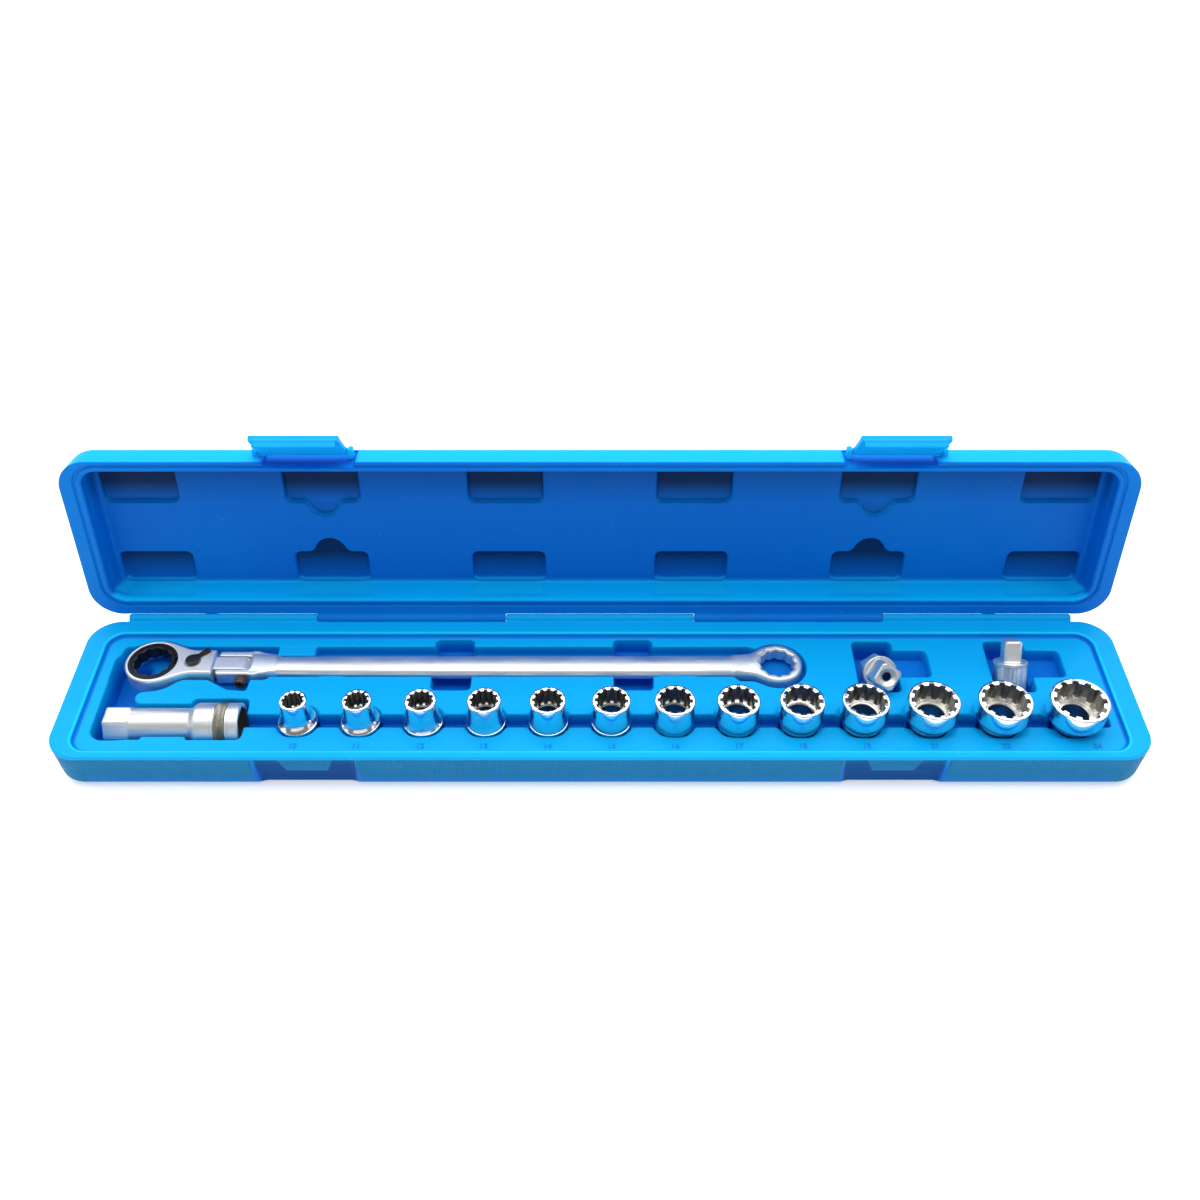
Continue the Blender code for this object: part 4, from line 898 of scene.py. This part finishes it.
def handle_piece():
    field = Field(spans((-214, -186, 0.3), (-186, 80, 0.6), (80, 113.2, 0.3)),
                  spans((2.6, 32.4, 0.3)), spans((15.6, 26.2, 0.3)))
    x, y, z = field.whole()
    across = y - WRENCH_Y
    half = np.interp(x, (-190, -150, -40, 40, 72, 90), (6.3, 6.9, 7.3, 7.3, 6.9, 7.6))
    crown = 25.0 - 0.034 * across ** 2
    bar = round_max(np.abs(across) - half, np.maximum(z - crown, 17.8 - z), 2.5)
    bar = np.maximum(bar, np.maximum(-192 - x, x - 92))
    fork = rect(x, y, (-212.5, 9.0), (-190.0, 26.0), 1.6)
    shoulder = outline(x, y, [(-193, 9.2), (-189, 9.4), (-180, 11.2), (-180, 23.8),
                              (-189, 25.6), (-193, 25.8)])
    fork = slab(round_min(fork, shoulder, 2.0), z, 16.6, 25.0, 1.0)
    body = round_min(bar, fork, 2.5)
    ring = slab(disc(x, y, RING_X, WRENCH_Y, 13.7), z, 16.7, 25.2, 2.0)
    neck = outline(x, y, [(74, 11.2), (84, 9.4), (92, 6.6), (92, 28.4), (84, 25.6), (74, 23.8)])
    body = round_min(round_min(body, slab(neck, z, 17.8, 24.6, 2.2), 2.0), ring, 3.0)
    slot = round_max(np.abs(across) - SLOT_HALF, x + 194.2, 1.5)
    body = round_max(body, -slot - 0 * z, 0.6)
    bore = np.hypot(x - PIVOT[0], z - PIVOT[2]) - PIVOT_BORE
    body = round_max(body, -bore - 0 * y, 0.3)
    hole = double_hex(x, y, RING_X, WRENCH_Y, 17.4)
    chamfer, middle, half_height = 0.9, 20.95, 4.25
    lead = chamfer - (half_height - np.abs(z - middle))
    hole = hole - np.clip(lead, 0, chamfer)
    field.fill(round_max(body, -hole, 0.15))
    made = skinned("wrench_bar", field, SATIN)
    settle_piece(made, "wrench", "satin_chrome", "wrench_handle")


def head_piece():
    field = Field(spans((-264.0, -194.0, 0.28)), spans((1.6, 33.4, 0.28)),
                  spans((15.9, 26.9, 0.28)))
    x, y, z = field.whole()
    across = y - WRENCH_Y
    ring = disc(x, y, HEAD_X, WRENCH_Y, 15.4)
    neck = rect(x, y, (-246, WRENCH_Y - 8.8), (-214.1, WRENCH_Y + 8.8), 0.8)
    shape = slab(round_min(ring, neck, 9.0), z, 16.7, 26.3, 1.3)
    tongue = round_max(np.abs(across) - TONGUE_HALF, np.maximum(-222 - x, x - PIVOT[0]))
    tongue = round_max(tongue, np.abs(z - PIVOT[2]) - TONGUE_RADIUS, 0.5)
    end = np.hypot(x - PIVOT[0], z - PIVOT[2]) - TONGUE_RADIUS
    end = round_max(end, np.abs(across) - TONGUE_HALF, 0.5)
    shape = round_min(shape, np.minimum(tongue, end), 0.8)
    floor = 18.1
    well_side = disc(x, y, HEAD_X, WRENCH_Y, 13.5)
    shape = round_max(shape, -np.maximum(well_side, floor - z), 0.35)
    shape = round_max(shape, -(disc(x, y, HEAD_X, WRENCH_Y, 11.6) + 0 * z), 0.35)
    pocket = rect(x, y, (-238, WRENCH_Y - 4.6), (-223.2, WRENCH_Y + 4.6), 1.0)
    shape = round_max(shape, -np.maximum(pocket, np.maximum(floor - z, z - 24.0)))
    shape = round_max(shape, -np.maximum(disc(x, y, LEVER_X, WRENCH_Y, 2.2), 23.0 - z))
    rest = disc(x, y, LEVER_X, WRENCH_Y, 4.3)
    shape = round_max(shape, -np.maximum(rest, 26.05 - z), 0.1)
    bore = np.hypot(x - PIVOT[0], z - PIVOT[2]) - PIVOT_BORE
    field.fill(round_max(shape, -(bore + 0 * y), 0.3))
    made = skinned("ratchet_head", field, SATIN)
    settle_piece(made, "flex_head", "satin_chrome", "flex_head")


def lever_piece():
    field = Field(spans((-231.2, -214.6, 0.16)), spans((12.6, 28.8, 0.16)),
                  spans((18.2, 28.5, 0.2)))
    x, y, z = field.whole()
    turn = math.radians(47)
    dx, dy = x - LEVER_X, y - WRENCH_Y
    u = dx * math.cos(turn) + dy * math.sin(turn)
    v = dy * math.cos(turn) - dx * math.sin(turn)
    hub = np.hypot(u, v) - 3.8
    width = np.interp(u, (2.0, 4.5, 10.0), (1.7, 1.35, 2.1))
    arm = round_max(np.abs(v) - width, np.abs(u - 6.0) - 5.4, 0.8)
    plan = round_min(hub, arm, 1.6)
    top = 27.9 - 0.05 * np.maximum(np.hypot(u, v) - 2.0, 0)
    shape = round_max(plan, np.maximum(z - top, 26.1 - z), 0.7)
    rib = (np.abs((u % 1.5) - 0.75) - 0.32) + 0 * z
    rib = np.maximum(np.maximum(rib, 5.0 - u), np.maximum(u - 10.4, 26.75 - z))
    shape = round_max(shape, -rib, 0.15)
    shaft = round_max(np.hypot(dx, dy) - 1.9, np.abs(z - 22.6) - 3.8, 0.2)
    field.fill(round_min(shape, shaft))
    made = skinned("lever_ribbed", field, BLACK, 40000)
    settle_piece(made, "reversing_lever", "black_steel", "reversing_lever")


def twelve_point(across_flats, count):
    """The radius of a 12-point opening at each ring angle."""
    angles = np.degrees(np.arange(count) * math.tau / count)
    local = np.abs((angles + 15) % 30 - 15)
    return across_flats / 2 / np.cos(np.radians(30 - local))


def gear_piece():
    count = 360
    hole = twelve_point(18.4, count)
    phase = (np.arange(count) % 10) / 10
    teeth = 13.15 - 0.85 * np.abs(2 * phase - 1)
    stations = [(hole + 0.5, 18.4), (teeth, 18.4), (teeth, 24.9), (11.8, 24.9), (11.8, 25.85),
                (11.55, 26.1), (hole + 0.55, 26.1), (hole + 0.1, 25.75), (hole, 25.4),
                (hole, 18.9)]
    made = loft("gear_ring", stations, BLACK, moved(HEAD_X, WRENCH_Y), count=count)
    settle_piece(made, "ratchet_gear", "black_steel", "ratchet_gear")


def screw_piece():
    count = 96
    knurl = 3.2 - 0.22 * (np.arange(count) % 8 < 3)
    socket = polygon_radius(6, 2.6, count)
    stations = [(1.6, -8.1), (2.0, -7.7), (2.0, 8.8), (2.9, 8.8), (knurl, 9.1), (knurl, 12.3),
                (2.7, 13.0), (2.4, 13.1), (socket + 0.2, 13.1), (socket, 12.9), (socket, 11.2)]
    place = moved(*PIVOT, about_x(90))
    made = loft("pivot_bolt", stations, BROWN, place, count=count, ends=True)
    settle_piece(made, "wrench", "black_steel", "pivot_screw")


handle_piece()
head_piece()
lever_piece()
gear_piece()
screw_piece()


# -------- sockets


def spline_radii(tip, root, count):
    """Twelve square-sided teeth that point inwards."""
    share = (np.arange(count) * 12 / count + 0.3) % 1 - 0.3
    return np.interp(share, (-0.3, 0.1, 0.19, 0.6, 0.69, 0.7),
                     (root, root, tip, tip, root, root))


def socket_piece(size, cx):
    """From the drive hexagon up the outside, over the splined rim and down the bore."""
    count = RING_POINTS
    outer, tip, root = outer_radius(size), size * 0.5, size * 0.575
    bore = min(size / 2 - 0.7, 7.3)
    splines = spline_radii(tip, root, count)
    hexagon = polygon_radius(6, 18.0, count, 0, 0.35)
    stations = [(hexagon - 0.9, 11.6), (hexagon, 12.5), (hexagon, 19.6),
                (np.maximum(hexagon, 10.1), 20.0), (10.35, 20.6), (FLANGE_RADIUS, 20.9),
                (FLANGE_RADIUS, 22.0), (10.4, 22.35)]
    small = outer < FLANGE_RADIUS
    waist, start = (28.2, 10.2) if small else (29.4, 10.5)
    foot, rim = 22.45, 39.0
    for t in np.linspace(0, 1, 9):
        if small:
            radius = outer + (start - outer) * (1 - t) ** 2.4
        else:
            radius = start + (outer - start) * math.sin(t * math.pi / 2)
        stations.append((radius, foot + (waist - foot) * t))
    stations += [(outer, rim - 1.1), (outer - 0.12, 38.6), (outer - 0.4, 38.92),
                 (outer - 0.6, rim), (root + 0.2, rim), (splines + 0.12, 38.8),
                 (splines, 38.6), (splines, 38.3)]
    walls = len(stations) - 1
    stations += [(splines, 28.3), (np.minimum(splines, tip) - 0.1, 27.95)]
    if tip - bore > 1.4:
        middle = (tip + bore) / 2
        stations += [(middle + 0.3, 27.75), (middle + 0.2, 27.3), (middle - 0.2, 27.3),
                     (middle - 0.3, 27.6)]
    stations += [(bore + 0.35, 27.45), (bore, 27.1)]
    inner = len(stations) - 1
    stations += [(bore, 12.1), (bore + 0.4, 11.6)]
    made = loft(f"spline_socket_{size}", stations, CHROME, moved(cx, SOCKET_Y),
                (walls, inner), DARK_WALL)
    made.data.materials.append(CREAM)
    paint(made, (walls + 1) * count, inner * count, 2)
    node = f"socket_{size}mm"
    settle_piece(made, node, "bright_chrome", node)


for socket_size, socket_x in SOCKETS.items():
    socket_piece(socket_size, socket_x)


# -------- extension and adapters

LYING = moved(-264.0, SOCKET_Y, 18.4, Matrix.Rotation(math.radians(90), 4, "Y"))


def extension_piece():
    male = polygon_radius(6, 18.0, RING_POINTS, 0, 0.3)
    female = polygon_radius(6, 18.4, RING_POINTS)
    shaft, sleeve = 9.2, 12.0
    stations = [(male - 1.1, 0.0), (male - 0.35, 0.35), (male, 1.1), (male, 13.2),
                (np.minimum(male, 9.5), 13.8), (shaft, 14.2), (shaft, 45.0)]
    for t in np.linspace(0, 1, 9)[1:]:
        share = (1 - math.cos(t * math.pi)) / 2
        stations.append((shaft + (sleeve - shaft) * share, 45.0 + 4.5 * t))
    stations += [(sleeve, 57.6), (11.75, 57.7), (11.75, 58.0), (sleeve, 58.1), (sleeve, 59.4),
                 (11.3, 59.5), (11.3, 65.6), (sleeve, 65.7), (sleeve, 67.0), (11.75, 67.1),
                 (11.75, 67.4), (sleeve, 67.5), (sleeve, 71.7), (11.7, 72.3), (11.4, 72.5),
                 (female + 0.5, 72.5), (female, 72.0)]
    walls = len(stations) - 1
    stations += [(female, 60.4), (6.0, 59.8)]
    made = loft("extension_body", stations, SATIN, LYING, (walls, walls + 1), DARK_WALL,
                ends=True)
    settle_piece(made, "extension", "satin_chrome", "extension_bar")


def knurl_piece():
    """A band cut by two crossing sets of helical grooves."""
    count, starts, rise = 480, 60, 1.25
    turns = np.arange(count) / count * starts
    outside = []
    for height in np.linspace(59.9, 65.2, 19):
        one = np.abs((turns + height / rise) % 1 * 2 - 1)
        two = np.abs((turns - height / rise) % 1 * 2 - 1)
        outside.append((12.18 - 0.42 * np.maximum(one, two) ** 3, height))
    stations = [(11.65, 59.8)] + outside + [(11.65, 65.3)]
    made = loft("knurl_band", stations, OLIVE, LYING, count=count, sharp=50)
    settle_piece(made, "extension", "black_steel", "knurled_ring")


def adapter_piece(name, drive, place, length=14.0, bore=None, turn=0.0):
    """A hexagon, a round flange with a groove and a square drive, which may be bored."""
    body = polygon_radius(6, 16.4, RING_POINTS, 0, 0.3)
    square = polygon_radius(4, drive, RING_POINTS, math.radians(turn), drive * 0.085)
    top = 2.4 + 6.0 + 0.6 * drive
    flange, groove = 9.3, 8.9
    stations = [(body - 0.9, -length), (body, 0.8 - length), (body, -0.6),
                (np.minimum(body, 8.3), -0.2), (8.3, 0.1), (9.1, 0.3), (flange, 0.6),
                (flange, 0.95), (groove, 1.1), (groove, 1.35), (flange, 1.5), (flange, 2.0),
                (groove, 2.4), (square + 0.5, 2.4), (square, 3.0), (square, top - 1.3),
                (square - 0.3, top - 0.5), (square - 0.9, top)]
    dark = ()
    if bore:
        stations += [(bore + 2.5, top), (bore + 0.5, top - 1.5), (bore, top - 2.2)]
        dark = (len(stations) - 1,)
        stations += [(bore, 0.5 - length), (bore + 0.5, -length)]
    made = loft(name + "_body", stations, FROSTED, place, dark, DARK_WALL, ends=not bore)
    settle_piece(made, name, "bright_chrome", name)


extension_piece()
knurl_piece()
adapter_piece("adapter_large", 12.7,
              moved(ADAPTERS[0] + 0.6, 10.5, 24.4,
                    Matrix.Rotation(math.radians(5), 4, "Z") @ about_x(52)),
              length=10.0, bore=2.4, turn=35.0)
adapter_piece("adapter_small", 9.5, moved(ADAPTERS[1] - 0.5, 15.4, 25.2, about_x(-33)))


# -------- raised sizes, kept nodes


def size_numbers():
    """The socket sizes, moulded faintly proud of the tray in front of the row."""
    meshes = bmesh.new()
    for size, cx in SOCKETS.items():
        text = bpy.data.curves.new("size_text", "FONT")
        text.body = str(size)
        text.size = 4.7 * MM
        text.extrude = 0.26 * MM
        text.bevel_depth = 0.1 * MM
        text.align_x = "CENTER"
        holder = added("size_text", text)
        aside = 8.5 if size == 24 else 0
        holder.location = Vector((cx + aside, -41.4, PLATEAU)) * MM
        bpy.context.view_layer.update()
        graph = bpy.context.evaluated_depsgraph_get()
        mesh = bpy.data.meshes.new_from_object(holder.evaluated_get(graph))
        mesh.transform(holder.matrix_world)
        meshes.from_mesh(mesh)
        bpy.data.objects.remove(holder)
    mesh = bpy.data.meshes.new("size_numbers")
    meshes.to_mesh(mesh)
    meshes.free()
    settle_piece(link("size_numbers", mesh, NUMBER_PLASTIC), "base", "case_plastic")


size_numbers()
KEPT = {SPRING: ("hinge_pin", "latch_pin_left", "latch_pin_right", "detent_ball",
                 "detent_spring", "pawl_spring", "adapter_large_ball", "adapter_small_ball"),
        BLACK: ("gear_retaining_ring", "pawl")}
for material, nodes in KEPT.items():
    for node in nodes:
        for material_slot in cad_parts[node].material_slots:
            material_slot.material = material


# -------- studio


def floor_piece():
    """A floor of 10 by 11 metres, just under the case."""
    bm = bmesh.new()
    corners = [bm.verts.new((x, y, -0.4 * MM)) for x, y in ((-5, -4), (5, -4), (5, 7), (-5, 7))]
    bm.faces.new(corners)
    mesh = bpy.data.meshes.new("floor")
    bm.to_mesh(mesh)
    bm.free()
    finish = Finish("floor_finish")
    mist = finish.noise(1.5, 2.0)
    colour = finish.blend(mist, (0.94, 0.94, 0.94), (0.96, 0.96, 0.96))
    made = link("floor", mesh, finish.done(colour, 0.9, Emission_Strength=0.45))
    finish.shader.inputs["Emission Color"].default_value = (1, 1, 1, 1)


def softbox(name, place, target, size, power):
    """A rectangular lamp. Its place, target and size are in metres and its power in watts."""
    data = bpy.data.lights.new(name, "AREA")
    data.shape = "RECTANGLE"
    data.size, data.size_y = size
    data.energy = power
    made = added(name, data)
    made.location = place
    aim = Vector(target) - Vector(place)
    made.rotation_euler = aim.to_track_quat("-Z", "Y").to_euler()


def studio():
    floor_piece()
    softbox("key_above", (0.0, 0.5, 1.25), (0, 0.15, 0), (2.6, 1.9), 40.0)
    softbox("fill_front", (0.0, -1.5, 0.5), (0, 0, 0.04), (2.4, 0.7), 4.0)
    softbox("side_left", (-1.4, -0.2, 0.6), (0, 0, 0.03), (0.7, 0.9), 2.0)
    softbox("side_right", (1.4, -0.2, 0.6), (0, 0, 0.03), (0.7, 0.9), 2.0)
    world = bpy.data.worlds.new("studio")
    world.use_nodes = True
    background = world.node_tree.nodes["Background"]
    background.inputs["Color"].default_value = (1, 1, 1, 1)
    background.inputs["Strength"].default_value = 0.22
    bpy.context.scene.world = world
    bpy.context.scene.view_settings.view_transform = "Standard"


def camera():
    """The camera that was fitted to the photo. The focal length is in photo pixels."""
    photo_width, focal, sensor = 1200, 1266, 36.0
    data = bpy.data.cameras.new("camera")
    data.sensor_width = sensor
    data.lens = sensor * focal / photo_width
    data.clip_start, data.clip_end = 0.01, 30.0
    made = added("camera", data)
    made.location = (0, -0.4602, 0.5421)
    made.rotation_euler = (math.radians(45.55), 0, 0)
    bpy.context.scene.camera = made


studio()
camera()
